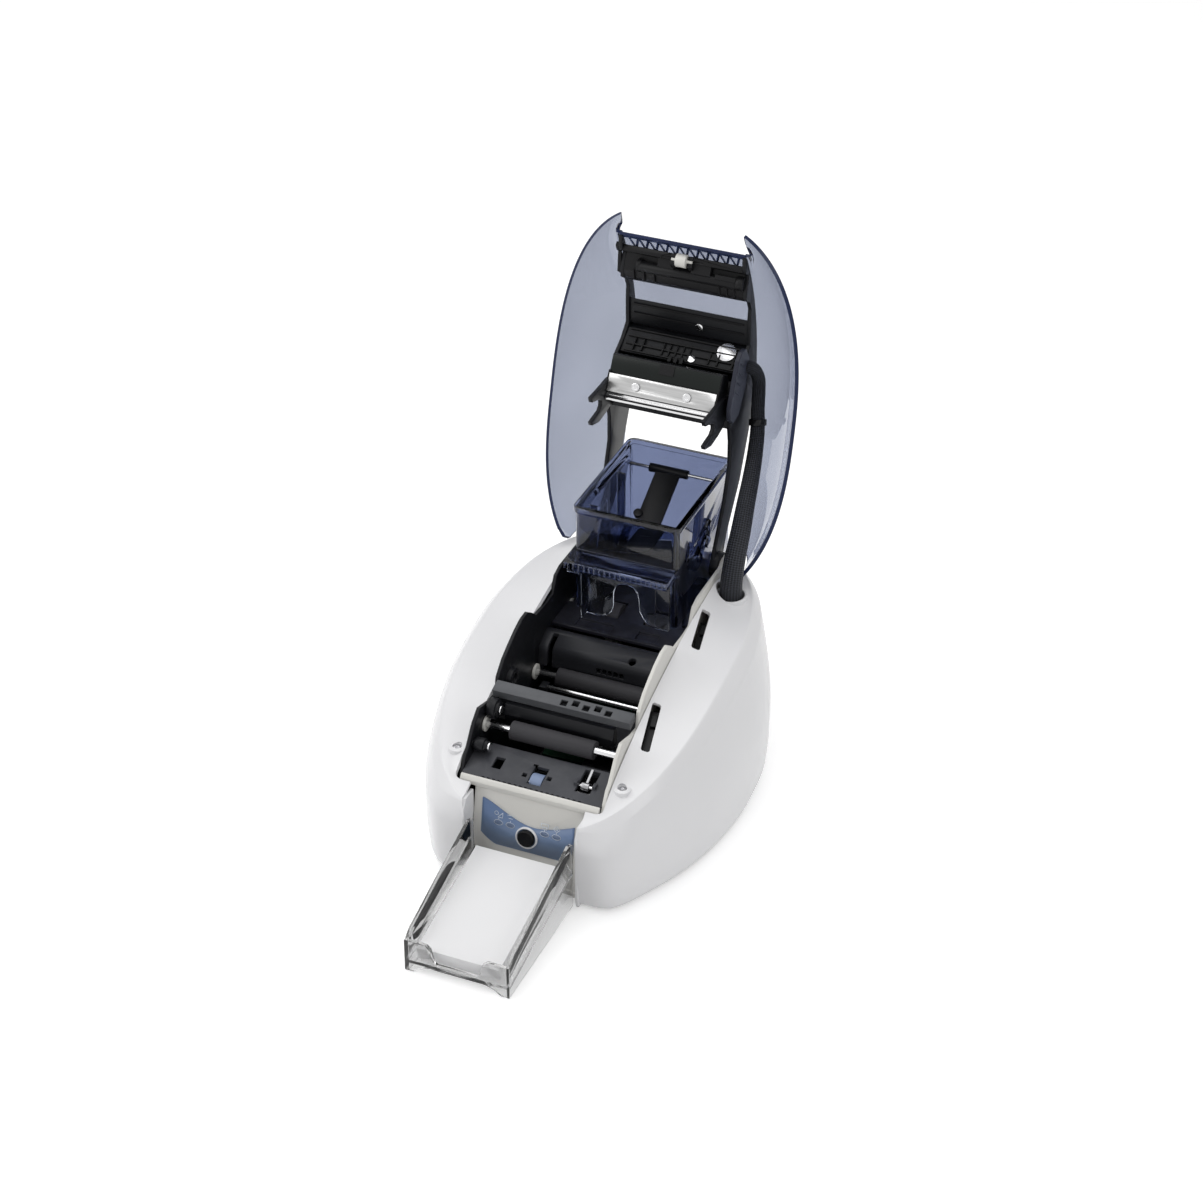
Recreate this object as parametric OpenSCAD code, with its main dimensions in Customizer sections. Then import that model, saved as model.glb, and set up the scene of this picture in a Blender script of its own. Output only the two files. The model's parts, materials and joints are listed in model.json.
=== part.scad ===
// Card printer with its cover open: white side covers, a narrow print channel between two chassis
// walls, a card hopper at the rear, a card tray at the front and a hinged cover with the print head.
// Millimetres, +Z up, front towards -Y, +X on the right seen from the front. The origin is on the
// table, on the mirror plane, midway between the tray's front and the open cover's rear.

/* [Body] */
// Greatest width of the two side covers together
body_w = 202; // [190:1:230]
// Front face of the two front lobes
front_y = -98; // [-104:1:-96]
// Rear face of the body
rear_y = 167; // [164:1:186]
// Place along the body where the covers are widest
belt_y = 43; // [36:1:56]
// Height of the covers' widest line
belt_z = 44; // [36:1:48]
// Wall of the side covers
cover_wall = 2.4; // [1.6:0.1:3]
// Height of the cover's rim at the front
rim_low_z = 62; // [58:0.5:66]
// How far the rim would rise to the rear
rim_rise = 64; // [56:1:70]

/* [Print channel] */
// Half-width between the chassis walls
channel_half = 46.5; // [46:0.1:48]
// Thickness of a chassis wall
plate_t = 2.4; // [1.6:0.1:3]
// Half-width of the bay that holds the card tray
bay_half = 37; // [36:0.5:39]
// Diameter of the rubber transport roller
transport_d = 12; // [9:0.5:13]
// Diameter of the print platen
platen_d = 12; // [10:0.5:13]
// Diameter of the front drive roller
drive_d = 13; // [11:0.5:14]
// Diameter of the card feed roller
feed_d = 18; // [14:1:20]
// Diameter of the roller shafts
shaft_d = 5; // [4:0.5:6]
// Running clearance of a shaft in its bearing, on the radius
run_gap = 0.06; // [0.02:0.01:0.1]

/* [Card hopper] */
// Outer half-width of the hopper
hopper_half = 35.4; // [34:0.2:36]
// Front face of the hopper
hopper_y0 = 69.8; // [68:0.5:74]
// Rear face of the hopper
hopper_y1 = 164.5; // [160:0.5:164.5]
// Height of the hopper's rim
hopper_top_z = 179.5; // [170:0.5:185]
// Wall of the hopper
hopper_wall = 2.2; // [1.6:0.1:3]

/* [Card tray] */
// Outer half-width of the tray's walls
tray_half = 34.5; // [32:0.5:35]
// Front edge of the tray
tray_front_y = -188.5; // [-194:0.5:-184]
// Wall of the tray
tray_wall = 2.4; // [1.8:0.1:3]
// Slope of the tray's floor
tray_slope = 11.3; // [9:0.1:13]
// Width of a card
card_w = 54; // [50:0.5:56]
// Length of a card
card_l = 85.6; // [80:0.2:86]
// Number of cards that lie in the tray
card_count = 12; // [4:1:16]

/* [Cover] */
// How far the cover is open at rest, in degrees
lid_open = 116; // [110:1:117]
// Place of the hinge along the body
hinge_y = 121; // [118:0.5:123]
// Height of the hinge
hinge_z = 126; // [124:0.5:128]
// Greatest half-width of the closed cover's rim
lid_half = 84.5; // [80:0.5:86]
// Wall of the cover's shell
lid_wall = 2.4; // [1.8:0.1:3]
// Half-width of the cover's roof
roof_half = 44; // [43:0.5:46]
// Height of the roof's front edge over the table when closed
roof_low_z = 74; // [72:0.5:77]
// How far the roof would rise to the rear
roof_rise = 92; // [86:1:98]

/* [Cable] */
// Diameter of the braided cable sleeve at the cover
cable_d = 8.6; // [7:0.2:10]
// Diameter of the sleeve where it leaves the body
cable_low_d = 15; // [12:0.5:16]

/* [Hidden] */
$fn = 48;

// General small values
over = 1;
seat_gap = 0.3;
move_gap = 0.6;
body_half = body_w/2;
belt_nose = 29.9;
belt_front_len = belt_y - front_y + belt_nose;
belt_rear_len = rear_y - belt_y;
belt_power = 2.05;
front_corner_r = 4;
cover_low_z = 1.5;
bay_wall_t = 2.2;
wall_out = channel_half + plate_t;
seam_x = wall_out + move_gap;

// The cover's rim and the crease in the side covers that it closes onto
rim_y = 32;
rim_front_len = 134;
rim_rear_len = 120;
rim_power = 2.6;
rim_run = 115;
rim_start_y = -95;
crest_drop = 8;
crest_share = 0.42;
crest_full_gap = 14;
seam_rise = 4;
seam_rise_more = 7;
seam_rise_run = 125;
seam_rise_y = -64;
flange_power = 1.6;
front_dip = 3.5;
front_dip_run = 8;
rear_drop = 13;
rear_drop_y = 102;
lip_y = -84;
rear_lip_y = 138;
seam_slant_share = 0.35;
corner_share = 0.75;

function rim_z(y) = rim_low_z + rim_rise*(1 - exp((rim_start_y - y)/rim_run));
function seam_z(y) = rim_z(y) + seam_rise + seam_rise_more*min(1, (y - seam_rise_y)/seam_rise_run)
    - front_dip*exp((lip_y - y)/front_dip_run) - rear_drop*max(0, y - rear_drop_y)/(rear_lip_y - rear_drop_y);
function soft_floor(v, limit, r) = limit + r*ln(1 + exp((v - limit)/r));
function oval(a, half_w, mid, front_len, rear_len, power) =
    [half_w*pow(abs(sin(a)), 2/power),
     a <= 90 ? mid - front_len*pow(abs(cos(a)), 2/power) : mid + rear_len*pow(abs(cos(a)), 2/power)];
function belt_pt(a) =
    let (p = oval(a, body_half, belt_y, belt_front_len, belt_rear_len, belt_power))
    [p[0], soft_floor(p[1], front_y, front_corner_r)];
function rim_pt(a, inset = 0) =
    oval(a, lid_half - inset, rim_y, rim_front_len - inset, rim_rear_len - inset, rim_power);
function blend_pt(p, q, t) = [for (i = [0:len(p) - 1]) p[i] + (q[i] - p[i])*t];

// Outlines are given as shares of a box: start, size and the share pairs
function outline(shares, y0, z0, w, h) = [for (s = shares) [y0 + s[0]*w, z0 + s[1]*h]];

// A plate whose outline lies in the YZ plane, x0 to x0 + t
module plate_yz(x0, t, pts) {
    translate([x0, 0, 0]) rotate([90, 0, 90]) linear_extrude(t) polygon(pts);
}
module box(x0, x1, y0, y1, z0, z1) {
    translate([x0, y0, z0]) cube([x1 - x0, y1 - y0, z1 - z0]);
}
module rod_x(x0, x1, y, z, d) {
    translate([x0, y, z]) rotate([0, 90, 0]) cylinder(h = x1 - x0, d = d);
}
module both_sides() {
    children();
    mirror([1, 0, 0]) children();
}
// Swings pieces drawn in the closed place up into the open rest place
module opened() {
    translate([0, hinge_y, hinge_z]) rotate([-lid_open, 0, 0]) translate([0, -hinge_y, -hinge_z]) children();
}
// A closed skin from rows of points: every row is one closed loop, and a loop's first half faces its
// second half, so that the two ends are closed by strips
module skin(rows) {
    m = len(rows[0]);
    n = len(rows);
    pts = [for (r = rows) each r];
    sides = [for (i = [0:n - 2]) for (j = [0:m - 1])
        let (k = (j + 1) % m) each [[i*m + j, (i + 1)*m + j, (i + 1)*m + k], [i*m + j, (i + 1)*m + k, i*m + k]]];
    e = (n - 1)*m;
    caps = [for (j = [0:m/2 - 2]) each [[j, j + 1, m - 2 - j], [j, m - 2 - j, m - 1 - j],
        [e + j, e + m - 2 - j, e + j + 1], [e + j, e + m - 1 - j, e + m - 2 - j]]];
    polyhedron(points = pts, faces = concat(sides, [for (c = caps) if (c[0] != c[1] && c[1] != c[2] && c[0] != c[2]) c]), convexity = 8);
}

// Side covers: each station runs from the foot up over the crest to the seam by the chassis wall
cover_a0 = 21.5;
cover_a1 = 158.5;
cover_stations = 26;
foot_insets = [7, 3.4, 1.4, 0.3];
foot_heights = [0, 3, 8.5, 20];
wall_shares = [1, 0.62, 0.34, 0.13, 0];
flange_shares = [0, 0.3, 0.65, 1];

function seam_pt(c) =
    let (slant = (c[0] - seam_x)*seam_slant_share)
    [min(seam_x, bay_half + (c[0] - bay_half)*corner_share),
     c[1] < rim_y ? soft_floor(c[1] + slant, lip_y, front_corner_r/2)
         : -soft_floor(slant - c[1], -rear_lip_y, front_corner_r/2)];
function cover_row(a) =
    let (p = belt_pt(a), c = rim_pt(a), q = seam_pt(c), gap = norm(p - c), dir = (c - p)/gap,
        crest_z = rim_z(c[1]) - crest_drop*min(1, gap/crest_full_gap),
        foot = [for (i = [0:3]) let (s = p + dir*foot_insets[i]) [s[0], s[1], cover_low_z + foot_heights[i]]],
        wall = [for (w = wall_shares)
            let (s = blend_pt(c, p, crest_share + (1 - crest_share)*sin(90*w)))
            [s[0], s[1], crest_z + (belt_z - crest_z)*w]],
        flange = [for (f = flange_shares)
            let (s = blend_pt(c, q, f)) [s[0], s[1], rim_z(c[1]) + (seam_z(q[1]) - rim_z(c[1]))*pow(f, flange_power)]],
        inner_low = [for (v = concat(foot, wall)) [v[0] + dir[0]*cover_wall, v[1] + dir[1]*cover_wall, v[2]]],
        inner_top = [for (v = flange) [v[0], v[1], v[2] - cover_wall]])
    concat(foot, wall, flange,
        [for (i = [len(flange) - 1:-1:1]) inner_top[i]],
        [inner_top[0] + [dir[0], dir[1], 0]*cover_wall],
        [for (i = [len(inner_low) - 1:-1:0]) inner_low[i]]);
module cover_shell() {
    skin([for (i = [cover_stations - 1:-1:0]) cover_row(cover_a0 + (cover_a1 - cover_a0)*i/(cover_stations - 1))]);
}
// The upright wall of a lobe beside the tray bay
bay_wall_shares = [[0.12, 0], [0, 0.1], [0, 0.88], [0.25, 1], [1, 1], [1, 0]];
bay_wall_h = 60;
bay_wall_len = 15;
bay_wall_set = 0.4;
module bay_wall() {
    plate_yz(bay_half, bay_wall_t, outline(bay_wall_shares, front_y + bay_wall_set, cover_low_z, bay_wall_len, bay_wall_h));
}
// Clips at the foot of a cover, which stand on the base pan
clip_angles = [52, 88, 128];
clip_l = 14;
clip_w = 8;
clip_h = 5;
clip_inset = 4.2;
module cover_clips() {
    for (a = clip_angles) {
        p = belt_pt(a);
        c = rim_pt(a);
        d = (c - p)/norm(c - p);
        translate([p[0] + d[0]*clip_inset, p[1] + d[1]*clip_inset, base_z + base_t]) rotate([0, 0, atan2(d[1], d[0])])
            box(0, clip_l, -clip_w/2, clip_w/2, 0, clip_h);
    }
}
// Latch slots, the cover screws and the cable's collar
latch_w = 5.6;
latch_l = 33;
latch_tilt = 9;
latch_x = 56.5;
latch_ys = [-23.5, 59];
screw_x = 55.4;
screw_y = -66.4;
screw_d = 6;
screw_sink = 2.2;
collar_x = 60;
collar_y = 102;
collar_d = 18;
collar_wall = 1.6;
collar_h = 4;
module latch_cuts() {
    for (y = latch_ys)
        translate([latch_x, y, seam_z(y) - latch_l/2]) rotate([0, 0, latch_tilt])
            box(-latch_w/2, latch_w/2, -latch_l/2, latch_l/2, 0, latch_l);
}
screw_seat_z = rim_z(screw_y) + seam_rise/2;
module screw_well() {
    translate([screw_x, screw_y, screw_seat_z - screw_sink - cover_wall]) difference() {
        cylinder(h = cover_wall + screw_sink, d = screw_d + 2*cover_wall);
        translate([0, 0, cover_wall]) cylinder(h = latch_l, d = screw_d);
    }
}
module side_cover() {
    difference() {
        union() {
            cover_shell();
            bay_wall();
            cover_clips();
        }
        translate([screw_x, screw_y, screw_seat_z - screw_sink - cover_wall/2]) cylinder(h = latch_l, d = screw_d + cover_wall);
    }
    screw_well();
}
collar_top_z = rim_z(collar_y) + collar_h;
module left_cover() {
    color("white") mirror([1, 0, 0]) side_cover();
}
module right_cover() {
    color("white") difference() {
        union() {
            side_cover();
            translate([collar_x, collar_y, collar_top_z - 2*collar_h]) cylinder(h = 2*collar_h, d = collar_d + 2*collar_wall);
        }
        translate([collar_x, collar_y, collar_top_z - 3*collar_h]) cylinder(h = 6*collar_h, d = collar_d);
        latch_cuts();
    }
}
module cover_screws() {
    color("silver") both_sides() translate([screw_x, screw_y, screw_seat_z - screw_sink]) difference() {
        cylinder(h = screw_sink/2, d = screw_d - 2*seat_gap);
        translate([0, 0, screw_sink/4]) cylinder(h = screw_sink, d = screw_d/3);
    }
}

// Base pan and feet
base_t = 3;
base_inset = 9.9;
base_z = 1.5;
foot_d = 12;
foot_xs = [52, 56];
foot_ys = [-68, 118];
base_stations = 16;
function base_pt(a) =
    let (p = belt_pt(a), c = rim_pt(a), dir = (c - p)/norm(c - p)) p + dir*base_inset;
base_half = [for (i = [0:base_stations]) base_pt(cover_a0 + (cover_a1 - cover_a0)*i/base_stations)];
base_outline = concat([for (p = base_half) [max(p[0], bay_half + bay_wall_t + seat_gap), p[1]]],
    [for (i = [base_stations:-1:0]) [-max(base_half[i][0], bay_half + bay_wall_t + seat_gap), base_half[i][1]]]);
bay_rear_y = -82;
module base_pan() {
    color("dimgray") difference() {
        translate([0, 0, base_z]) linear_extrude(base_t) difference() {
            union() {
                polygon(base_outline);
                translate([-rear_half, collar_y]) square([2*rear_half, rear_face_y + rear_t - collar_y]);
            }
            translate([-bay_half - bay_wall_t - seat_gap, 2*front_y - bay_rear_y])
                square([2*(bay_half + bay_wall_t + seat_gap), 2*(bay_rear_y - front_y)]);
        }
        both_sides() for (i = [0, 1])
            translate([foot_xs[i], foot_ys[i], base_z - over]) cylinder(h = base_t/2 + over, d = foot_d);
    }
}
module rubber_feet() {
    color("black") both_sides() for (i = [0, 1])
        translate([foot_xs[i], foot_ys[i], 0]) cylinder(h = base_z + base_t/2, d = foot_d);
}

// Chassis walls: one profile, cut in bumps and dips along the top
wall_y0 = -90;
wall_y1 = 146;
wall_z0 = base_z + base_t;
wall_top_z = 132;
wall_rise = wall_top_z - wall_z0;
wall_top_shares = [[0.02, 0.34], [0.025, 0.43], [0.035, 0.46], [0.05, 0.5], [0.075, 0.575], [0.09, 0.592], [0.13, 0.69], [0.165, 0.74], [0.2, 0.722],
    [0.235, 0.703], [0.274, 0.696], [0.282, 0.78], [0.32, 0.845], [0.355, 0.88], [0.4, 0.92], [0.44, 0.945],
    [0.475, 0.948], [0.505, 0.91], [0.53, 0.87], [0.6, 0.865], [0.64, 0.87], [0.665, 0.955], [0.7, 0.975],
    [0.86, 0.975], [0.885, 1], [0.91, 1], [0.935, 0.955], [0.945, 0.85], [0.955, 0.66], [1, 0.66]];
wall_outline = concat(outline(wall_top_shares, wall_y0, wall_z0, wall_y1 - wall_y0, wall_rise),
    [[wall_y1, wall_z0], [bay_rear_y + bay_wall_t, wall_z0], [bay_rear_y + bay_wall_t, wall_z0 + wall_rise*wall_top_shares[0][1]]]);
hinge_pin_d = 6;
transport_y = -44;
transport_z = 83;
drive_y = -68;
drive_z = 65.5;
platen_y = 31;
platen_z = 74.6;
feed_y = 88;
feed_z = 90.5;
motor_y = -10;
motor_z = 38;
motor_hole_d = 12;
bearing_d = 9;
module chassis_wall() {
    plate_yz(channel_half, plate_t, wall_outline);
}
module right_side_plate() {
    color("ivory") difference() {
        chassis_wall();
        for (s = [[transport_y, transport_z], [drive_y, drive_z], [platen_y, platen_z], [feed_y, feed_z]])
            rod_x(channel_half - over, wall_out + over, s[0], s[1], bearing_d);
        rod_x(channel_half - over, wall_out + over, hinge_y, hinge_z, hinge_pin_d);
        rod_x(channel_half - over, wall_out + over, motor_y, motor_z, motor_hole_d);
    }
}
module left_side_plate() {
    color("#202124") mirror([1, 0, 0]) difference() {
        chassis_wall();
        for (s = [[transport_y, transport_z], [drive_y, drive_z], [platen_y, platen_z], [feed_y, feed_z]])
            rod_x(channel_half - over, wall_out + over, s[0], s[1], bearing_d);
        rod_x(channel_half - over, wall_out + over, hinge_y, hinge_z, hinge_pin_d);
        for (s = spool_places) rod_x(channel_half - over, wall_out + over, s[0], s[1], spool_pin_d);
    }
    color("#202124") mirror([1, 0, 0]) difference() {
        rod_x(channel_half - boss_l, channel_half, boss_y, boss_z, boss_d);
        rod_x(channel_half - boss_l - over, channel_half - boss_l/2, boss_y, boss_z, boss_d/2);
    }
}
// Bushings press into the wall bores and carry the shafts
module roller_bushings() {
    color("white") both_sides()
        for (s = [[transport_y, transport_z], [drive_y, drive_z], [platen_y, platen_z], [feed_y, feed_z]])
            difference() {
                union() {
                    rod_x(channel_half, wall_out, s[0], s[1], bearing_d);
                    rod_x(channel_half - bushing_flange, channel_half, s[0], s[1], bearing_d + bushing_flange);
                }
                rod_x(channel_half - 2*bushing_flange, wall_out + over, s[0], s[1], shaft_d + 2*run_gap);
            }
}
bushing_flange = 1.4;

// Rollers: rubber or plastic sleeves on steel shafts that run out to the belt pulleys on the right
shaft_left = channel_half + plate_t;
belt_w = 3;
belt_t = 0.7;
belt_gap = 0.3;
pulley_rim = 0.5;
belt_front_x = wall_out + pulley_rim + seat_gap;
belt_rear_x = belt_front_x + belt_w + 3*pulley_rim;
// A pulley's diameter is this share of its roller's, so that all the surfaces run at one speed
pulley_share = 0.35;
motor_pulley_d = pulley_share*platen_d;
pulley_shaft_d = 3;
transport_half = 28;
drive_roller_half = 4;
platen_half = 30;
feed_half = 11;
feed_x = 15;
module pulley(x, y, z, d) {
    rod_x(x, x + belt_w, y, z, d);
    for (e = [x - pulley_rim, x + belt_w]) rod_x(e, e + pulley_rim, y, z, d + 2*belt_t);
}
module roller_shaft(y, z, x) {
    rod_x(-shaft_left, wall_out, y, z, shaft_d);
    rod_x(wall_out, x + belt_w, y, z, pulley_shaft_d);
}
module transport_roller() {
    color("#2a2a2c") union() {
        roller_shaft(transport_y, transport_z, belt_front_x);
        rod_x(-transport_half, transport_half, transport_y, transport_z, transport_d);
        pulley(belt_front_x, transport_y, transport_z, pulley_share*transport_d);
    }
}
module drive_roller() {
    color("#8fa3c4") union() {
        roller_shaft(drive_y, drive_z, belt_front_x);
        rod_x(-drive_roller_half, drive_roller_half, drive_y, drive_z, drive_d);
        pulley(belt_front_x, drive_y, drive_z, pulley_share*drive_d);
    }
}
module print_platen() {
    color("#202022") union() {
        roller_shaft(platen_y, platen_z, belt_rear_x);
        rod_x(-platen_half, platen_half, platen_y, platen_z, platen_d);
        pulley(belt_rear_x, platen_y, platen_z, pulley_share*platen_d);
    }
}
module feed_roller() {
    color("#2a2a2c") union() {
        roller_shaft(feed_y, feed_z, belt_rear_x);
        both_sides() rod_x(feed_x - feed_half/2, feed_x + feed_half/2, feed_y, feed_z, feed_d);
        pulley(belt_rear_x, feed_y, feed_z, pulley_share*feed_d);
    }
}
// Belts run round their pulleys, a little clear of them so that the pulleys can turn inside
module belt_loop(x, stops) {
    translate([x, 0, 0]) rotate([90, 0, 90]) linear_extrude(belt_w) difference() {
        hull() for (s = stops) translate([s[0], s[1]]) circle(d = s[2] + 2*belt_gap + 2*belt_t, $fn = 32);
        hull() for (s = stops) translate([s[0], s[1]]) circle(d = s[2] + 2*belt_gap, $fn = 32);
    }
}
front_stops = [[motor_y, motor_z, motor_pulley_d], [drive_y, drive_z, pulley_share*drive_d],
    [transport_y, transport_z, pulley_share*transport_d]];
rear_stops = [[motor_y, motor_z, motor_pulley_d], [platen_y, platen_z, pulley_share*platen_d],
    [feed_y, feed_z, pulley_share*feed_d]];
module front_belt() {
    color("black") belt_loop(belt_front_x, front_stops);
}
module rear_belt() {
    color("black") belt_loop(belt_rear_x, rear_stops);
}
// Motor behind the right wall, with both pulleys on its shaft
motor_w = 42;
motor_l = 34;
motor_shaft_d = pulley_shaft_d;
module drive_motor() {
    color("#3a3c40") difference() {
        box(channel_half - motor_l, channel_half, motor_y - motor_w/2, motor_y + motor_w/2,
            motor_z - motor_w/2, motor_z + motor_w/2);
        rod_x(channel_half - motor_l/2, channel_half + over, motor_y, motor_z, motor_shaft_d + 2*run_gap);
    }
}
module motor_pulleys() {
    color("silver") union() {
        rod_x(channel_half - motor_l/2 + over, belt_rear_x + belt_w + pulley_rim, motor_y, motor_z, motor_shaft_d);
        pulley(belt_front_x, motor_y, motor_z, motor_pulley_d);
        pulley(belt_rear_x, motor_y, motor_z, motor_pulley_d);
    }
}

// Front of the channel: panel, label, lenses, button and their board
panel_t = 2.4;
panel_low_z = wall_z0;
panel_top_z = 66;
panel_lean = 10.2;
panel_y = -87;
label_half = 31;
label_low_z = 27;
label_top_z = 57;
label_t = 0.8;
panel_half = bay_half;
lip_half = channel_half;
// Section of the lip over the panel, in shares of a box behind the panel's top
lip_box_y = -82.6;
lip_box_z = 62;
lip_box_len = 6;
lip_box_h = 7.6;
lip_shares = [[0.1, 0.2], [0.02, 0.66], [0.3, 0.95], [0.52, 1], [0.52, 0.62], [0.42, 0.2]];
// The panel leans back a little towards its top, so its pieces are drawn upright and then leant
module leant() {
    translate([0, panel_y, label_low_z]) rotate([-panel_lean, 0, 0]) translate([0, -panel_y, -label_low_z]) children();
}
module panel_plate(half, z0, z1, off, t) {
    leant() box(-half, half, panel_y - off, panel_y - off + t, z0, z1);
}
// A round piece on the panel's face, w0 to w1 in front of it
module knob(z, w0, w1, d0, d1) {
    leant() translate([0, panel_y - w0, z]) rotate([90, 0, 0]) cylinder(h = w1 - w0, d1 = d0, d2 = d1);
}
button_d = 11.2;
button_z = 37;
button_travel = 1.2;
button_cap_t = 2;
bezel_d = 15;
bezel_h = 2;
button_stem_d = 5;
button_clip_t = 1;
button_clip_d = 7;
lens_w = 5;
lens_h = 2.4;
lens_z = 42.5;
lens_xs = [-19.5, -11.5, 11.5, 19.5];
module front_panel() {
    color("ivory") difference() {
        union() {
            panel_plate(panel_half, panel_low_z + over, panel_top_z, 0, panel_t);
            plate_yz(-panel_half, 2*panel_half, outline(panel_foot_shares, panel_y - panel_t, panel_low_z, 2*panel_t, 2*panel_t));
            plate_yz(-lip_half, 2*lip_half, outline(lip_shares, lip_box_y, lip_box_z, lip_box_len, lip_box_h));
        }
        knob(button_z, -2*panel_t, panel_t, button_stem_d + 2*run_gap, button_stem_d + 2*run_gap);
    }
}
panel_foot_shares = [[-0.5, 0], [-0.5, 0.7], [0.2, 0.7], [0.2, 0]];
module panel_label() {
    color("#2f5f9e") difference() {
        panel_plate(label_half, label_low_z, label_top_z, label_t, label_t);
        knob(button_z, -panel_t, panel_t, button_d + 2*move_gap, button_d + 2*move_gap);
    }
}
// The four status lights are oval lenses on the label
module status_lenses() {
    color("#9fc0e0") leant() for (x = lens_xs)
        translate([x, panel_y - label_t, lens_z]) rotate([90, 0, 0])
            linear_extrude(label_t/2) scale([lens_w/lens_h, 1]) circle(d = lens_h);
}
module button_bezel() {
    color("white") difference() {
        knob(button_z, label_t, bezel_h, bezel_d, bezel_d - label_t);
        knob(button_z, 0, 2*bezel_h, button_d + 2*move_gap, button_d + 2*move_gap);
    }
}
module front_button() {
    color("#18181a") union() {
        knob(button_z, button_travel + seat_gap, button_travel + seat_gap + button_cap_t, button_d, button_d - label_t);
        knob(button_z, -panel_t - seat_gap - button_clip_t, button_travel + button_cap_t, button_stem_d, button_stem_d);
        knob(button_z, -panel_t - seat_gap - button_clip_t, -panel_t - seat_gap, button_clip_d, button_clip_d);
    }
}
board_t = 1.6;
board_gap = 7;
board_switch_h = board_gap - button_clip_t - button_travel - 3*seat_gap;
module control_board() {
    color("darkgreen") leant() union() {
        box(-label_half, label_half, panel_y + panel_t + board_gap, panel_y + panel_t + board_gap + board_t, label_low_z, label_top_z);
        both_sides() for (z = [label_low_z + board_gap/2, label_top_z - board_gap])
            box(label_half - board_gap, label_half - board_gap/2, panel_y + panel_t, panel_y + panel_t + board_gap + over, z, z + board_gap/2);
        box(-board_gap/2, board_gap/2, panel_y + panel_t + board_gap - board_switch_h, panel_y + panel_t + board_gap + over,
            button_z - board_gap/2, button_z + board_gap/2);
    }
}
main_board_z = 14;
main_board_y = 24;
module main_board() {
    color("darkgreen") union() {
        box(-channel_half + board_gap, channel_half - board_gap, main_board_y, rear_y - 6*board_gap,
            main_board_z, main_board_z + board_t);
        for (x = [-1, 1], y = [main_board_y + board_gap, rear_y - 7*board_gap])
            translate([x*(channel_half - 2*board_gap), y, wall_z0]) cylinder(h = main_board_z - wall_z0, d = board_gap);
        box(-board_gap, 2*board_gap, main_board_y + 3*board_gap, main_board_y + 6*board_gap, main_board_z + board_t, main_board_z + 2*board_t);
    }
}

// Card path plate between the front lip and the transport roller
path_y0 = -79.2;
path_y1 = -52;
path_z0 = 69.3;
path_z1 = 75.5;
path_t = 2.2;
path_half = channel_half;
path_tooth = 1.8;
path_tooth_n = 9;
path_hole = 3;
// Section of the plate, in shares of its length and of its rise
path_shares = [[0, -0.3], [0, 0], [1, 1], [1.08, 0.3], [1, -0.1], [0.92, 0.55]];
path_hole_shares = [[-0.18, 0.3], [0.16, 0.36], [-0.1, 0.66], [0.16, 0.72]];
path_window_share = 0.34;
module card_path_plate() {
    color("#26272a") difference() {
        union() {
            plate_yz(-path_half, 2*path_half, outline(path_shares, path_y0, path_z0, path_y1 - path_y0, path_z1 - path_z0));
            for (x = [-path_half, path_half - 2*path_t])
                box(x, x + 2*path_t, path_y0 + path_t, path_y1, path_z0 - 3*path_t, path_z0);
            box(lever_x - lever_pin_half - path_t, lever_x - lever_pin_half, lever_y - path_t, lever_y + path_t, lever_z - path_t, path_z1 - over);
            box(lever_x + lever_pin_half, lever_x + lever_pin_half + path_t, lever_y - path_t, lever_y + path_t, lever_z - path_t, path_z1 - over);
        }
        for (i = [-path_tooth_n:path_tooth_n]) translate([i*2*path_tooth - path_tooth/2, path_y0 - over, path_z0 - 2*path_t])
            cube([path_tooth, over + path_tooth/2, 3*path_t]);
        box(-drive_roller_half - move_gap, drive_roller_half + move_gap, drive_y - drive_d/2 - move_gap,
            drive_y + drive_d/2 + move_gap, path_z0 - 3*path_t, path_z1 + over);
        rod_x(-path_half - over, path_half + over, drive_y, drive_z, shaft_d + 2*move_gap);
        both_sides() rod_x(path_half - 2*bushing_flange, path_half + over, drive_y, drive_z, bearing_d + 2*bushing_flange);
        for (h = path_hole_shares)
            translate([h[0]*path_half - path_hole/2, path_y0 + h[1]*(path_y1 - path_y0), path_z0 - 2*path_t])
                cube([path_hole, path_hole, 4*path_t]);
        translate([-path_half*(1 - path_window_share), path_y0 + 3*path_hole, path_z0 - 2*path_t]) cube([2*path_hole, 3*path_hole, 4*path_t]);
        box(lever_x - lever_pin_half, lever_x + lever_pin_half, lever_y - 2*path_hole, lever_y + 4*path_hole, path_z0 - 2*path_t, path_z1 + path_t);
    }
}
// Small sprung lever that feels the card
lever_x = 31;
lever_y = -66;
lever_z = 71.5;
lever_pin_d = 2;
lever_hub_d = 5;
lever_hub_w = 5;
lever_arm_l = 13;
lever_arm_w = 1.6;
lever_arm_lean = -65;
lever_pin_half = 5;
module lever_pin() {
    color("silver") rod_x(lever_x - lever_pin_half, lever_x + lever_pin_half, lever_y, lever_z, lever_pin_d);
}
module sensor_lever() {
    color("silver") difference() {
        union() {
            rod_x(lever_x - lever_hub_w/2, lever_x + lever_hub_w/2, lever_y, lever_z, lever_hub_d);
            translate([lever_x - lever_arm_w/2, lever_y - lever_arm_w/2, lever_z]) rotate([lever_arm_lean, 0, 0])
                cube([lever_arm_w, lever_arm_w, lever_arm_l]);
        }
        rod_x(lever_x - lever_hub_w, lever_x + lever_hub_w, lever_y, lever_z, lever_pin_d + 2*run_gap);
    }
}

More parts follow.
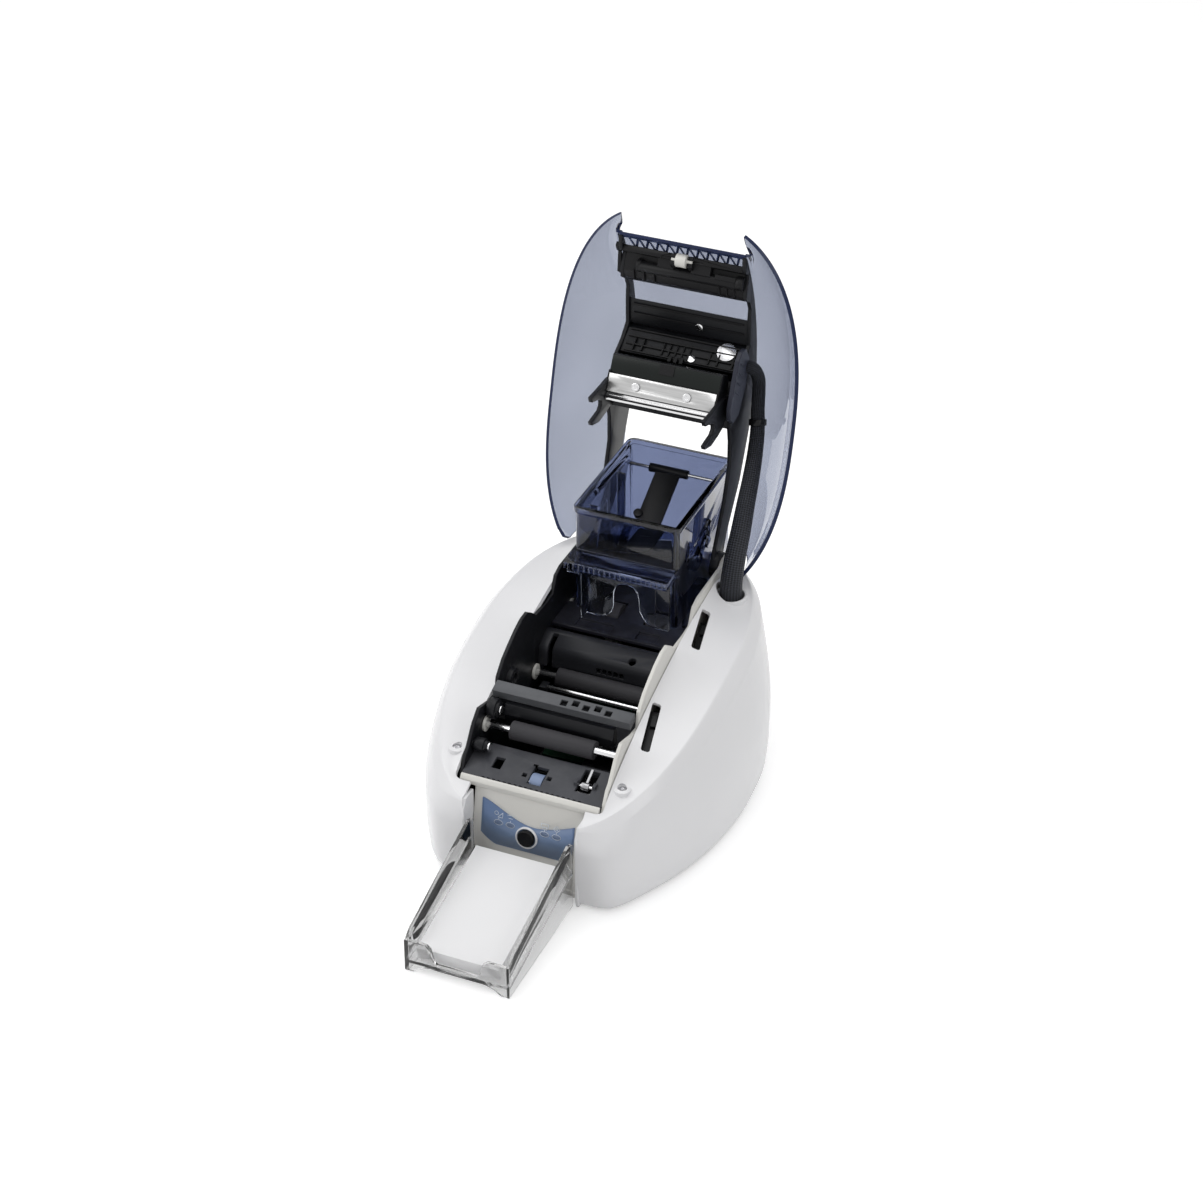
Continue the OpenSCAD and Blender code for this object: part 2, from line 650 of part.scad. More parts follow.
// Crossmember with its row of square holes
cross_y = -28;
cross_z = 97;
cross_depth = 9;
cross_h = 6;
cross_tilt = 14;
cross_hole_shares = [0.02, 0.18, 0.34, 0.5, 0.66];
cross_hole = 4.4;
cross_rib = 1.6;
module crossmember() {
    color("#3c3e42") translate([0, cross_y, cross_z]) rotate([cross_tilt, 0, 0]) difference() {
        box(-path_half, path_half, -cross_depth/2, cross_depth/2, 0, cross_h);
        box(-path_half + 2*cross_hole, path_half - 2*cross_hole, -cross_depth/2 + cross_rib, cross_depth/2 - cross_rib, -over, cross_h - cross_rib);
        for (i = [0:len(cross_hole_shares) - 1]) translate([cross_hole_shares[i]*path_half, (i % 2 - 0.5)*cross_rib, 0])
            box(-cross_hole/2, cross_hole/2, -cross_hole/2, cross_hole/2, 0, cross_h + over);
    }
}
// Head bay: the pan under the closed print head, with a wall up to the crossmember
bay_pan_half = 36.8;
bay_pan_z = 66;
bay_pan_t = 2.4;
bay_pan_shares = [[0, 0.74], [0.02, 0.96], [0.07, 0.96], [0.09, 0.3], [0.42, 0.08], [0.7, 0.02], [0.74, -0.06],
    [0.42, -0.04], [0.06, 0.16]];
bay_pan_y0 = -37;
// The slot in the bay's front wall that cards pass through
card_slack = 1.5;
card_slot_z = 75.8;
card_slot_h = 4;
bay_pan_len = 84;
bay_pan_h = 30;
bay_lug_share = 0.55;
module head_bay() {
    color("#1d1e20") union() {
        difference() {
            plate_yz(-bay_pan_half, 2*bay_pan_half, outline(bay_pan_shares, bay_pan_y0, bay_pan_z, bay_pan_len, bay_pan_h));
            box(-card_w/2 - card_slack, card_w/2 + card_slack, bay_pan_y0 - over, bay_pan_y0 + 5*bay_pan_t, card_slot_z, card_slot_z + card_slot_h);
        }
        both_sides() box(bay_pan_half - over, path_half, bay_pan_y0 + bay_pan_t, bay_pan_y0 + 3*bay_pan_t, bay_pan_z + bay_pan_h/3,
            bay_pan_z + bay_pan_h*bay_lug_share);
        both_sides() difference() {
            box(bay_pan_half - 2*bay_pan_t, bay_pan_half, rod_y - 2*bay_pan_t, rod_y + bay_pan_t, bay_pan_z - over, rod_z + bay_pan_t);
            rod_x(bay_pan_half - 3*bay_pan_t, bay_pan_half + over, rod_y, rod_z, rod_d);
        }
    }
}
rod_y = 20;
rod_z = 73;
rod_d = 3;
module steel_rod() {
    color("silver") rod_x(-bay_pan_half, bay_pan_half, rod_y, rod_z, rod_d);
}
// Curved guide behind the bay, with slots for the print head's forks
ridge_shares = [[0, 0], [0.02, 0.4], [0.05, 0.6], [0.1, 0.7], [0.16, 0.76], [0.54, 0.955], [0.62, 0.985], [0.7, 0.985],
    [0.84, 0.9], [1, 0.78], [1, 0.66], [0.6, 0.84], [0.3, 0.68], [0.24, 0.56], [0.22, 0]];
ridge_y0 = 36;
ridge_len = 22;
ridge_z0 = 77;
ridge_h = 19;
fork_x = 37.5;
fork_t = 2.3;
ridge_vents = 4;
ridge_sensor_d = 5;
ridge_sensor_x = 17;
ridge_vent_h_share = 0.2;
fork_slot_share = 0.55;
ridge_vent_step = 4;
ridge_vent_x = -6;
module guide_ridge() {
    color("#2c2d30") difference() {
        union() {
            plate_yz(-path_half, 2*path_half, outline(ridge_shares, ridge_y0, ridge_z0, ridge_len, ridge_h));
            both_sides() box(path_half - fork_t, path_half, ridge_y0 + fork_t, ridge_y0 + 3*fork_t, ridge_z0 - 2*fork_t, ridge_z0 + fork_t);
        }
        both_sides() box(fork_x - move_gap, fork_x + fork_t + move_gap, ridge_y0 - over, ridge_y0 + fork_slot_share*ridge_len,
            ridge_z0 - ridge_h, ridge_z0 + 2*ridge_h);
        for (i = [0:ridge_vents]) translate([ridge_vent_x + i*ridge_vent_step, 0, 0])
            box(0, path_hole, ridge_y0 - over, ridge_y0 + ridge_len/3, ridge_z0 + ridge_h*ridge_vent_h_share, ridge_z0 + 2*ridge_h*ridge_vent_h_share);
        translate([ridge_sensor_x, ridge_y0 + ridge_len/4, ridge_z0 + ridge_h/2]) cylinder(h = ridge_h, d = ridge_sensor_d);
        rod_x(-platen_half - move_gap, platen_half + move_gap, platen_y, platen_z, platen_d + 2*move_gap);
    }
}
// Deck under the hopper
deck_z = 93.5;
deck_t = 2.4;
deck_y0 = ridge_y0 + ridge_len + seat_gap;
deck_y1 = wall_y1 - deck_t;
deck_slot = 3;
// Recesses in the deck: left edge and width, in shares of the half-width
deck_recess_shares = [[-0.68, 0.52], [0.22, 0.3]];
module hopper_deck() {
    color("#1d1e20") difference() {
        union() {
            box(-path_half, path_half, deck_y0, deck_y1, deck_z, deck_z + deck_t);
            both_sides() box(path_half - 2*deck_t, path_half, deck_y0 + deck_t, deck_y1 - deck_t, deck_z - 3*deck_t, deck_z + over);
        }
        both_sides() box(feed_x - feed_half/2 - move_gap, feed_x + feed_half/2 + move_gap, feed_y - feed_d/2 - move_gap,
            feed_y + feed_d/2 + move_gap, deck_z - over, deck_z + deck_t + over);
        for (r = deck_recess_shares) translate([r[0]*path_half, deck_y0 + deck_slot, deck_z + deck_t/2])
            cube([r[1]*path_half, 3*deck_slot, deck_t]);
        both_sides() rod_x(path_half - 3*deck_t, path_half + over, feed_y, feed_z, shaft_d + 2*move_gap);
        both_sides() rod_x(path_half - 2*bushing_flange, path_half + over, feed_y, feed_z, bearing_d + 2*bushing_flange);
    }
}

// Ribbon spool hubs on the left wall: place along, height and neck diameter in the wall
spool_places = [[-39.5, 92.5], [-61, 79.2]];
spool_drum_ds = [13.5, 9];
spool_lens = [8.2, 10];
spool_pin_d = 4;
spool_head_t = 1;
boss_y = -6;
boss_z = 93;
boss_d = 14;
boss_l = 3;
module spool_pins() {
    color("silver") mirror([1, 0, 0]) for (i = [0, 1]) {
        rod_x(channel_half - spool_lens[i] - seat_gap, wall_out, spool_places[i][0], spool_places[i][1], spool_pin_d);
        rod_x(channel_half - spool_lens[i] - seat_gap - spool_head_t, channel_half - spool_lens[i] - seat_gap,
            spool_places[i][0], spool_places[i][1], 1.5*spool_pin_d);
    }
}
// A hub turns on its pin: a core, a wider drum clear of the bushings and a drive key across both
hub_off = bushing_flange + seat_gap;
hub_core_share = 0.72;
hub_drum_share = 0.6;
hub_key_share = 0.9;
hub_key_t_share = 0.16;
module spool_hub(i) {
    d = spool_drum_ds[i];
    l = spool_lens[i];
    x1 = channel_half - hub_off;
    color("#222326") mirror([1, 0, 0]) difference() {
        union() {
            rod_x(channel_half - l, channel_half - seat_gap, spool_places[i][0], spool_places[i][1], hub_core_share*d);
            rod_x(x1 - hub_drum_share*l, x1, spool_places[i][0], spool_places[i][1], d);
            translate([0, spool_places[i][0], spool_places[i][1]])
                box(x1 - hub_key_share*l + hub_off, x1, -hub_key_share*d/2, hub_key_share*d/2, -hub_key_t_share*d/2, hub_key_t_share*d/2);
        }
        rod_x(channel_half - 2*l, channel_half + over, spool_places[i][0], spool_places[i][1], spool_pin_d + 2*run_gap);
    }
}
module rear_spool_hub() {
    spool_hub(0);
}
module front_spool_hub() {
    spool_hub(1);
}

// Rear panel with the inlet, the socket and the switch
rear_half = 37.6;
rear_t = 2.4;
rear_top_z = 103;
rear_set = 6;
rear_face_y = rear_y - rear_set;
inlet_x = -17;
inlet_z = 26;
inlet_w = 27;
inlet_h = 20;
inlet_depth = 22;
socket_x = 16;
socket_w = 12;
socket_h = 11;
socket_t = 1;
switch_x = 9;
switch_z = 52;
switch_w = 13;
switch_h = 19;
switch_pin_d = 3;
module rear_window(x, z, w, h) {
    box(x - w/2, x + w/2, rear_face_y - over, rear_face_y + rear_t + over, z - h/2, z + h/2);
}
module rear_panel() {
    color("white") difference() {
        union() {
            box(-rear_half, rear_half, rear_face_y, rear_face_y + rear_t, wall_z0, rear_top_z);
            both_sides() box(rear_half - rear_t, rear_half, wall_y1 - rear_t, rear_face_y + over, wall_z0, rear_top_z);
            both_sides() box(rear_half - over, path_half, wall_y1 - rear_t, wall_y1, deck_z - 4*rear_t, deck_z - 2*rear_t);
            both_sides_of(switch_x) box(switch_w/2 + move_gap, switch_w/2 + move_gap + rear_t,
                rear_face_y - switch_w/3, rear_face_y + over, switch_z - switch_w/3, switch_z + switch_w/3);
        }
        rear_window(inlet_x, inlet_z, inlet_w + 2*run_gap, inlet_h + 2*run_gap);
        rear_window(socket_x, inlet_z, socket_w + 2*run_gap, socket_h + 2*run_gap);
        rear_window(switch_x, switch_z, switch_w + 2*move_gap, switch_h + 2*move_gap);
        rod_x(switch_x - switch_w, switch_x + switch_w, rear_face_y - rear_t/2, switch_z, switch_pin_d + 2*run_gap);
    }
}
module power_inlet() {
    color("black") difference() {
        box(inlet_x - inlet_w/2, inlet_x + inlet_w/2, rear_face_y - inlet_depth, rear_face_y + rear_t + seat_gap,
            inlet_z - inlet_h/2, inlet_z + inlet_h/2);
        box(inlet_x - inlet_w/2 + rear_t, inlet_x + inlet_w/2 - rear_t, rear_face_y - inlet_depth + 2*rear_t,
            rear_face_y + rear_t + over, inlet_z - inlet_h/2 + rear_t, inlet_z + inlet_h/2 - rear_t);
    }
}
module usb_socket() {
    color("silver") difference() {
        box(socket_x - socket_w/2, socket_x + socket_w/2, rear_face_y - inlet_depth/2, rear_face_y + rear_t + seat_gap,
            inlet_z - socket_h/2, inlet_z + socket_h/2);
        box(socket_x - socket_w/2 + socket_t, socket_x + socket_w/2 - socket_t, rear_face_y - inlet_depth/2 + rear_t,
            rear_face_y + rear_t + over, inlet_z - socket_h/2 + socket_t, inlet_z + socket_h/2 - socket_t);
    }
}
// The rocker: a wedge that tilts about its middle
switch_tilt = 8;
switch_shares = [[-1, -0.5], [1, -0.5], [0.7, 0], [1, 0.5], [-1, 0.5]];
module power_switch() {
    color("black") translate([switch_x, rear_face_y, switch_z]) rotate([switch_tilt, 0, 0])
        plate_yz(-switch_w/2, switch_w, outline(switch_shares, 0, 0, rear_t, switch_h - 2*move_gap));
    color("black") both_sides_of(switch_x) rod_x(switch_w/2 - over, switch_w/2 + seat_gap + rear_t, rear_face_y - rear_t/2, switch_z, switch_pin_d);
}
module both_sides_of(x) {
    translate([x, 0, 0]) children();
    translate([x, 0, 0]) mirror([1, 0, 0]) children();
}

// Hopper: an open translucent box with a ledge and a clear gauge plate in front of it
hopper_low_z = deck_z + 4.4*deck_t;
ledge_y = 55;
ledge_z = 148.5;
ledge_t = 5;
ledge_rib_n = 9;
ledge_rib_t = 0.8;
gauge_t = 2;
rim_t = 1.4;
rim_h = 4;
foot_pad = 5;
hopper_guide_t = 1.6;
hopper_corner_r = 4;
catch_y = 122;
catch_z = 147;
catch_l = 20;
catch_w = 7;
// A box with round upright edges
module round_box(x0, x1, y0, y1, z0, z1, r) {
    box(x0 + r, x1 - r, y0, y1, z0, z1);
    box(x0, x1, y0 + r, y1 - r, z0, z1);
    for (x = [x0 + r, x1 - r], y = [y0 + r, y1 - r]) translate([x, y, z0]) cylinder(h = z1 - z0, r = r);
}
module input_hopper() {
    color("#7f96dc") difference() {
        union() {
            round_box(-hopper_half, hopper_half, hopper_y0, hopper_y1, hopper_low_z, hopper_top_z, hopper_corner_r);
            round_box(-hopper_half - rim_t, hopper_half + rim_t, hopper_y0 - rim_t, hopper_y1 + rim_t/2, hopper_top_z - rim_h,
                hopper_top_z, hopper_corner_r + rim_t);
            box(-hopper_half, hopper_half, ledge_y - ledge_t/2, hopper_y0 + hopper_corner_r, ledge_z - ledge_t, ledge_z);
            for (i = [-ledge_rib_n:ledge_rib_n]) translate([i*hopper_half/(ledge_rib_n + 1) - ledge_rib_t/2, ledge_y - ledge_t/2 - ledge_rib_t, ledge_z - ledge_t])
                cube([ledge_rib_t, 2*ledge_rib_t, ledge_t - ledge_rib_t]);
            for (x = [-1, 1], z = [catch_z - catch_l/2, catch_z + catch_l/2 - catch_w])
                rod_x(x > 0 ? hopper_half - over : -hopper_half - rim_t, x > 0 ? hopper_half + rim_t : -hopper_half + over, catch_y, z + catch_w/2, catch_w);
            both_sides() box(hopper_half - over, hopper_half + rim_t, catch_y - catch_w/4, catch_y + catch_w/4, catch_z - catch_l/2, catch_z + catch_l/2);
        }
        box(-hopper_half + hopper_wall, hopper_half - hopper_wall, hopper_y0 + hopper_wall, hopper_y1 - hopper_wall,
            hopper_low_z - over, hopper_top_z + over);
        box(-hopper_half + 2*hopper_wall, hopper_half - 2*hopper_wall, hopper_y0 - over, hopper_y0 + 2*hopper_wall,
            hopper_low_z - over, ledge_z - 2*ledge_t);
        for (x = [-1, 1]) rod_x(x*hopper_half - 2*hopper_wall, x*hopper_half + 2*hopper_wall, flap_y, flap_z, flap_pin_d);
    }
    color("#7f96dc") both_sides() for (y = [hopper_y0 + 3*foot_pad, hopper_y1 - 6*foot_pad])
        box(hopper_half - hopper_wall, hopper_half, y, y + foot_pad, deck_z + deck_t, hopper_low_z + over);
    color("#7f96dc") both_sides() for (y = [hopper_y0 + 4*foot_pad, hopper_y0 + 13*foot_pad])
        box(card_w/2 + move_gap, hopper_half - hopper_wall + over/2, y, y + hopper_guide_t, hopper_low_z, hopper_top_z - 2*foot_pad);
}
// Clear gauge plate: two rounded tongues that hang from the ledge
gauge_y = 57;
gauge_low_z = 105;
gauge_shares = [[-1, 1], [-1, 0.86], [-0.72, 0.86], [-0.72, 0], [-0.64, 0.1], [-0.6, 0.14], [-0.34, 0.14], [-0.22, 0.18], [-0.12, 0.27],
    [-0.08, 0.4], [-0.08, 0.66], [-0.05, 0.76], [0.02, 0.84], [0.16, 0.87], [0.3, 0.84], [0.38, 0.75], [0.41, 0.62], [0.43, 0.4],
    [0.5, 0.27], [0.6, 0.18], [0.74, 0.14], [1, 0.14], [1, 1]];
gauge_rib_share = 0.72;
gauge_rib_t = 0.8;
module gauge_plate() {
    color("#c8d2e0") union() {
        translate([0, gauge_y + gauge_t, 0]) rotate([90, 0, 0]) linear_extrude(gauge_t)
            polygon(outline(gauge_shares, 0, gauge_low_z, hopper_half, ledge_z - ledge_t - gauge_low_z));
        translate([gauge_rib_share*hopper_half, 0, 0])
            box(0, gauge_rib_t, gauge_y - gauge_rib_t, gauge_y + over, gauge_low_z + 3*gauge_t, ledge_z - ledge_t);
    }
}
// Flap that presses the cards down, on a pin across the hopper
flap_set = 6.5;
flap_y = hopper_y1 - flap_set;
flap_z = 164;
flap_pin_d = 2.4;
flap_w = 17;
flap_bar_w = 27;
flap_l = 58;
flap_t = 1.8;
flap_angle = 29;
flap_hub_d = 6;
flap_x = -6;
flap_knob_share = 0.62;
flap_knob_d = 6;
module flap_pin() {
    color("silver") rod_x(-hopper_half, hopper_half, flap_y, flap_z, flap_pin_d);
}
module card_press_flap() {
    color("#1a1a1c") difference() {
        translate([flap_x, flap_y, flap_z]) union() {
            rod_x(-flap_bar_w/2, flap_bar_w/2, 0, 0, flap_hub_d);
            rotate([flap_angle, 0, 0]) {
                box(-flap_w/2, flap_w/2, -flap_l, 0, -flap_t/2, flap_t/2);
                translate([0, -flap_l, -flap_t/2]) cylinder(h = flap_t, d = flap_w);
                translate([-flap_w/2, -flap_l*flap_knob_share, -flap_t/2]) cylinder(h = 2*flap_t, d = flap_knob_d);
            }
        }
        rod_x(-hopper_half, hopper_half, flap_y, flap_z, flap_pin_d + 2*run_gap);
    }
}

// Tray: a clear wedge with a sloping floor, two walls, a front lip and two feet
tray_rear_y = -93.5;
tray_floor_z = 7;
tray_floor_t = 2;
tray_rear_top = 50;
tray_front_top = 23;
card_t = 0.76;
card_gap = 0.05;
function floor_z(y) = tray_floor_z + (y - tray_front_y)*tan(tray_slope);
// Side of a wall, in shares of the tray's length and of its height at the rear
tray_side_shares = [[0, 0], [0.02, 0.46], [0.08, 0.55], [0.94, 1], [1, 0.95], [1, 0]];
// Front wall with its finger notch and the arch between the feet, in shares of its half-width and height
tray_front_shares = [[0, 0.42], [0.38, 0.42], [0.44, 0.52], [0.5, 0.9], [0.58, 1], [1, 1], [1, 0], [0.84, 0],
    [0.78, 0.06], [0.7, 0.15], [0.56, 0.22], [0.36, 0.27], [0, 0.28]];
tray_front_pts = outline(tray_front_shares, 0, 0, tray_half, tray_front_top);
tray_front_loop = concat(tray_front_pts, [for (i = [len(tray_front_pts) - 2:-1:1]) [-tray_front_pts[i][0], tray_front_pts[i][1]]]);
module output_tray() {
    color("#c9ced6") union() {
        both_sides() plate_yz(tray_half - tray_wall, tray_wall, outline(tray_side_shares, tray_front_y, 0, tray_rear_y - tray_front_y, tray_rear_top));
        plate_yz(-tray_half + tray_wall/2, 2*tray_half - tray_wall, [[tray_front_y + tray_floor_t/2, floor_z(tray_front_y)],
            [tray_rear_y, floor_z(tray_rear_y)], [tray_rear_y, floor_z(tray_rear_y) - tray_floor_t],
            [tray_front_y + tray_floor_t/2, floor_z(tray_front_y) - tray_floor_t]]);
        translate([0, tray_front_y + tray_wall, 0]) rotate([90, 0, 0]) linear_extrude(tray_wall) polygon(tray_front_loop);
    }
}
module card_stack() {
    color("white") translate([0, tray_front_y + 2*tray_floor_t + move_gap, floor_z(tray_front_y + 2*tray_floor_t) + seat_gap])
        rotate([tray_slope, 0, 0]) for (i = [0:card_count - 1])
            translate([-card_w/2, 0, i*(card_t + card_gap)]) cube([card_w, card_l, card_t]);
}

// Cover shell in its closed place: rim, bulging wings and roof, open behind the print head
roof_run = 62;
roof_y0 = -80;
roof_y1 = 14;
roof_crown = 2.2;
lid_a0 = 20.5;
lid_a1 = 149;
lid_stations = 24;
rim_clear = 1.1;
wing_shares = [0, 0.2, 0.4, 0.6, 0.8, 1];
bulge_out = 0.28;
bulge_up = 0.72;
roof_steps = 2;
top_lag = 15;
top_lag_run = 60;
wing_end_y = 130;
function roof_z(y) = roof_low_z + roof_rise*(1 - exp((roof_y0 - y)/roof_run));
function wing_pt(r, s, t) =
    let (c = [r[0] + (s[0] - r[0])*bulge_out, (r[1] + s[1])/2, r[2] + (s[2] - r[2])*bulge_up])
    r*(1 - t)*(1 - t) + c*2*t*(1 - t) + s*t*t;
function lid_row(a, inset) =
    let (r = rim_pt(a, inset), y = r[1], lag = top_lag*exp((rim_start_y - y)/top_lag_run),
        low = [r[0], y, rim_z(y) + rim_clear],
        sy = min(wing_end_y, y + lag), top = [roof_half - inset/3, sy, roof_z(sy) - inset],
        wing = [for (t = wing_shares) wing_pt(low, top, t)],
        roof = [for (i = [1:roof_steps]) [top[0]*(1 - i/roof_steps), sy, top[2] + roof_crown*sin(90*i/roof_steps)]])
    concat(wing, roof);
function mirror_row(row) = [for (i = [len(row) - 2:-1:0]) [-row[i][0], row[i][1], row[i][2]]];
module lid_skin() {
    rows = [for (i = [lid_stations - 1:-1:0])
        let (a = lid_a0 + (lid_a1 - lid_a0)*i/(lid_stations - 1), outer = lid_row(a, 0), inner = lid_row(a, lid_wall),
            full_out = concat(outer, mirror_row(outer)), full_in = concat(inner, mirror_row(inner)))
        concat(full_out, [for (k = [len(full_in) - 1:-1:0]) full_in[k]])];
    skin(rows);
}
// Zig-zag ribs behind the crossbar
rib_count = 11;
rib_t = 1.1;
rib_h = 2.6;
rib_gap = 3;
rib_len = 7;
crossbar_drop = 3;
crossbar_set = lid_wall/6;
crossbar_half = roof_half - 0.7*lid_wall;
rear_cut_z = 111;
rear_cut_h = 46;
rear_cut_shares = [[0, 0], [0, 0.17], [0.511, 0.2065], [0.622, 0.326], [0.222, 0.5], [-0.667, 0.848], [-1.111, 1.022], [-1.111, 3], [5, 3], [5, 0]];
module lid_shell() {
    color("#8fa5e6") opened() union() {
        difference() {
            lid_skin();
            translate([0, 0, rim_low_z]) linear_extrude(2*roof_rise + rim_rise) union() {
                translate([-roof_half - over, roof_y1]) square([2*(roof_half + over), 2*(wing_end_y - roof_y1)]);
                translate([-roof_half + lid_wall, roof_y0 - 2*top_lag]) square([2*(roof_half - lid_wall), 2*top_lag + lid_wall/2]);
            }
            plate_yz(-body_half, 2*body_half, outline(rear_cut_shares, hinge_y, rear_cut_z, wing_end_y - hinge_y, rear_cut_h));
        }
        plate_yz(-crossbar_half, 2*crossbar_half, [[roof_y0 + crossbar_set, roof_low_z - crossbar_drop],
            [roof_y0 + lid_wall, roof_low_z - crossbar_drop], [roof_y0 + lid_wall, roof_z(roof_y0 + lid_wall) - lid_wall/2],
            [roof_y0 + crossbar_set, roof_z(roof_y0) - crossbar_set]]);
    }
}
// The ribs hang from the roof, as one strip of slanted bars with a band along its rear
function under_roof(y) = roof_z(y) - lid_wall - seat_gap;
module lid_ribs() {
    y0 = roof_y0 + lid_wall;
    y1 = y0 + rib_len;
    step = 2*(cheek_x - rib_gap)/(2*rib_count);
    color("#8fa5e6") opened() intersection() {
        plate_yz(-cheek_x, 2*cheek_x, [[y0, under_roof(y0) - rib_h], [y1, under_roof(y1) - rib_h], [y1, under_roof(y1) - seat_gap], [y0, under_roof(y0) - seat_gap]]);
        translate([0, 0, rim_low_z]) linear_extrude(rim_rise) union() {
            for (i = [0:2*rib_count - 1]) translate([-cheek_x + rib_gap + i*step, 0])
                polygon(i % 2 == 0 ? [[0, y0], [rib_t, y0], [step + rib_t, y1], [step, y1]] : [[0, y1], [rib_t, y1], [step + rib_t, y0], [step, y0]]);
            translate([-cheek_x, y1 - rib_t]) square([2*cheek_x, rib_t]);
            translate([-cheek_x, y0]) square([2*cheek_x, rib_t]);
        }
    }
}

// Frame of the cover: two cheeks that run back into the hinge arms. Outlines of the cover's inner
// pieces are in shares of one box in the closed place
cheek_x = 40.4;
cheek_t = 2.6;
frame_len = 210;
frame_low_z = 60;
frame_h = 90;
function in_frame(shares) = outline(shares, roof_y0, frame_low_z, frame_len, frame_h);
frame_low_shares = [[0.0114, 0.1289], [0.0429, 0.1611], [0.0581, 0.1944], [0.0619, 0.27], [0.1143, 0.2811], [0.1381, 0.3111], [0.1438, 0.4], [0.1643, 0.46],
    [0.2, 0.4911], [0.2762, 0.5833], [0.3286, 0.5333], [0.3714, 0.46], [0.5238, 0.46], [0.5714, 0.5444], [0.6476, 0.6333], [0.7619, 0.6667],
    [0.8857, 0.65], [0.9286, 0.6444], [0.981, 0.65], [1, 0.7333], [0.981, 0.8167], [0.8571, 0.8333], [0.6952, 0.9111], [0.5429, 0.9111]];
frame_top_shares = [0.43, 0.38, 0.32, 0.27, 0.22, 0.17, 0.13, 0.1, 0.075, 0.055, 0.035, 0.0115];
frame_pts = concat(in_frame(frame_low_shares),
    [for (v = frame_top_shares) let (y = roof_y0 + v*frame_len) [y, under_roof(y) - seat_gap]]);
arm_boss_d = 17;
// the place along the cable where it goes in through the right cheek
cable_gate_u = 0.97;
module lid_frame() {
    gate = cable_at(cable_gate_u);
    color("#222327") difference() {
        opened() both_sides() difference() {
            union() {
                plate_yz(cheek_x, cheek_t, frame_pts);
                rod_x(cheek_x, channel_half - seat_gap, hinge_y, hinge_z, arm_boss_d);
            }
            rod_x(cheek_x - over, channel_half + over, hinge_y, hinge_z, hinge_pin_d + 2*run_gap);
        }
        rod_x(cheek_x - over, cheek_x + cheek_t + over, gate[1], gate[2], cable_d + 3*seat_gap);
    }
}
hinge_head_t = 0.6;
module hinge_pins() {
    color("silver") both_sides() union() {
        rod_x(cheek_x, wall_out, hinge_y, hinge_z, hinge_pin_d);
        rod_x(wall_out, wall_out + hinge_head_t, hinge_y, hinge_z, hinge_pin_d + 4*hinge_head_t);
    }
}
// Cross beams between the cheeks, the flange on the roof's rear edge and the posts that guide the head
upper_beam_shares = [[0.2, 0.5056], [0.2762, 0.6], [0.281, 0.67], [0.2619, 0.6444], [0.2, 0.5467]];
lower_beam_shares = [[0.276, 0.66], [0.2905, 0.5833], [0.3333, 0.5333], [0.3638, 0.4933], [0.3676, 0.5111], [0.3429, 0.5667], [0.3095, 0.6111], [0.3095, 0.7033]];
rear_beam_shares = [[0.5048, 0.4889], [0.5333, 0.5111], [0.5429, 0.8444], [0.5238, 0.8444]];
top_beam_shares = [[0.3095, 0.6756], [0.5238, 0.8222], [0.5238, 0.85], [0.3095, 0.7033]];
head_beam_shares = [[0.3905, 0.4778], [0.5095, 0.4778], [0.5095, 0.5111], [0.3905, 0.5111]];
roof_flange_shares = [[0.4476, 0.7622], [0.459, 0.7689], [0.459, 0.8889], [0.4476, 0.8889]];
post_x = 22;
post_y = 15;
post_d = 5;
post_head_d = 8;
post_head_t = 2;
head_travel = 1.6;
module lid_beams() {
    color("#1b1c1f") opened() union() {
        for (p = [upper_beam_shares, lower_beam_shares, rear_beam_shares, top_beam_shares, head_beam_shares, roof_flange_shares])
            plate_yz(-cheek_x, 2*cheek_x, in_frame(p));
        both_sides() translate([post_x, post_y, head_z + seat_gap + head_travel]) {
            cylinder(h = head_beam_z - head_z, d = post_d);
            cylinder(h = post_head_t, d = post_head_d);
        }
    }
}
// Fastening screws that show on the beams, each with its seat on the slope
lid_screw_d = 5;
lid_screw_h = 1.6;
disc_d = 12.6;
disc_t = 1.2;
// Places a round piece on the slope between two outline points, at a share of the way along it
module on_slope(p, q, share, x, d, t) {
    c = blend_pt(p, q, share);
    translate([x, c[0], c[1]]) rotate([atan2(q[1] - p[1], q[0] - p[0]), 0, 0]) translate([0, 0, -t]) cylinder(h = t, d = d);
}
lid_screw_x = 8;
lid_disc_x = 29;
upper_screw_share = 0.62;
lower_screw_share = 0.55;
disc_share = 0.45;
module lid_screws() {
    u = in_frame(upper_beam_shares);
    v = in_frame(lower_beam_shares);
    color("silver") opened() {
        on_slope(u[0], u[1], upper_screw_share, lid_screw_x, lid_screw_d, lid_screw_h);
        on_slope(v[2], v[3], lower_screw_share, lid_screw_x, lid_screw_d, lid_screw_h);
    }
}
module lid_disc() {
    v = in_frame(lower_beam_shares);
    color("silver") opened() on_slope(v[1], v[2], disc_share, lid_disc_x, disc_d, disc_t);
}
// Pinch bar and its small roller over the front drive roller
pinch_d = 8.6;
pinch_w = 7;
pinch_y = -68.5;
pinch_z = drive_z + drive_d/2 + seat_gap + pinch_d/2;
pinch_axle_d = 2.4;
pinch_lug_t = 3.4;
pinch_shares = [[0.0381, 0.2178], [0.0381, 0.1889], [0.0571, 0.1889], [0.061, 0.2711], [0.1143, 0.2756], [0.1333, 0.3111], [0.1429, 0.3778], [0.1238, 0.4056],
    [0.0762, 0.3111]];
pinch_lug_shares = [[0.04, 0.1733], [0.0714, 0.1733], [0.081, 0.2222], [0.081, 0.2889], [0.0629, 0.2889], [0.0476, 0.2178], [0.04, 0.2178]];
pinch_bracket_shares = [[0.0333, 0.1889], [0.0452, 0.1722], [0.059, 0.2111], [0.0638, 0.2478], [0.1238, 0.3], [0.1286, 0.3444], [0.0857, 0.3167], [0.0524, 0.2444]];
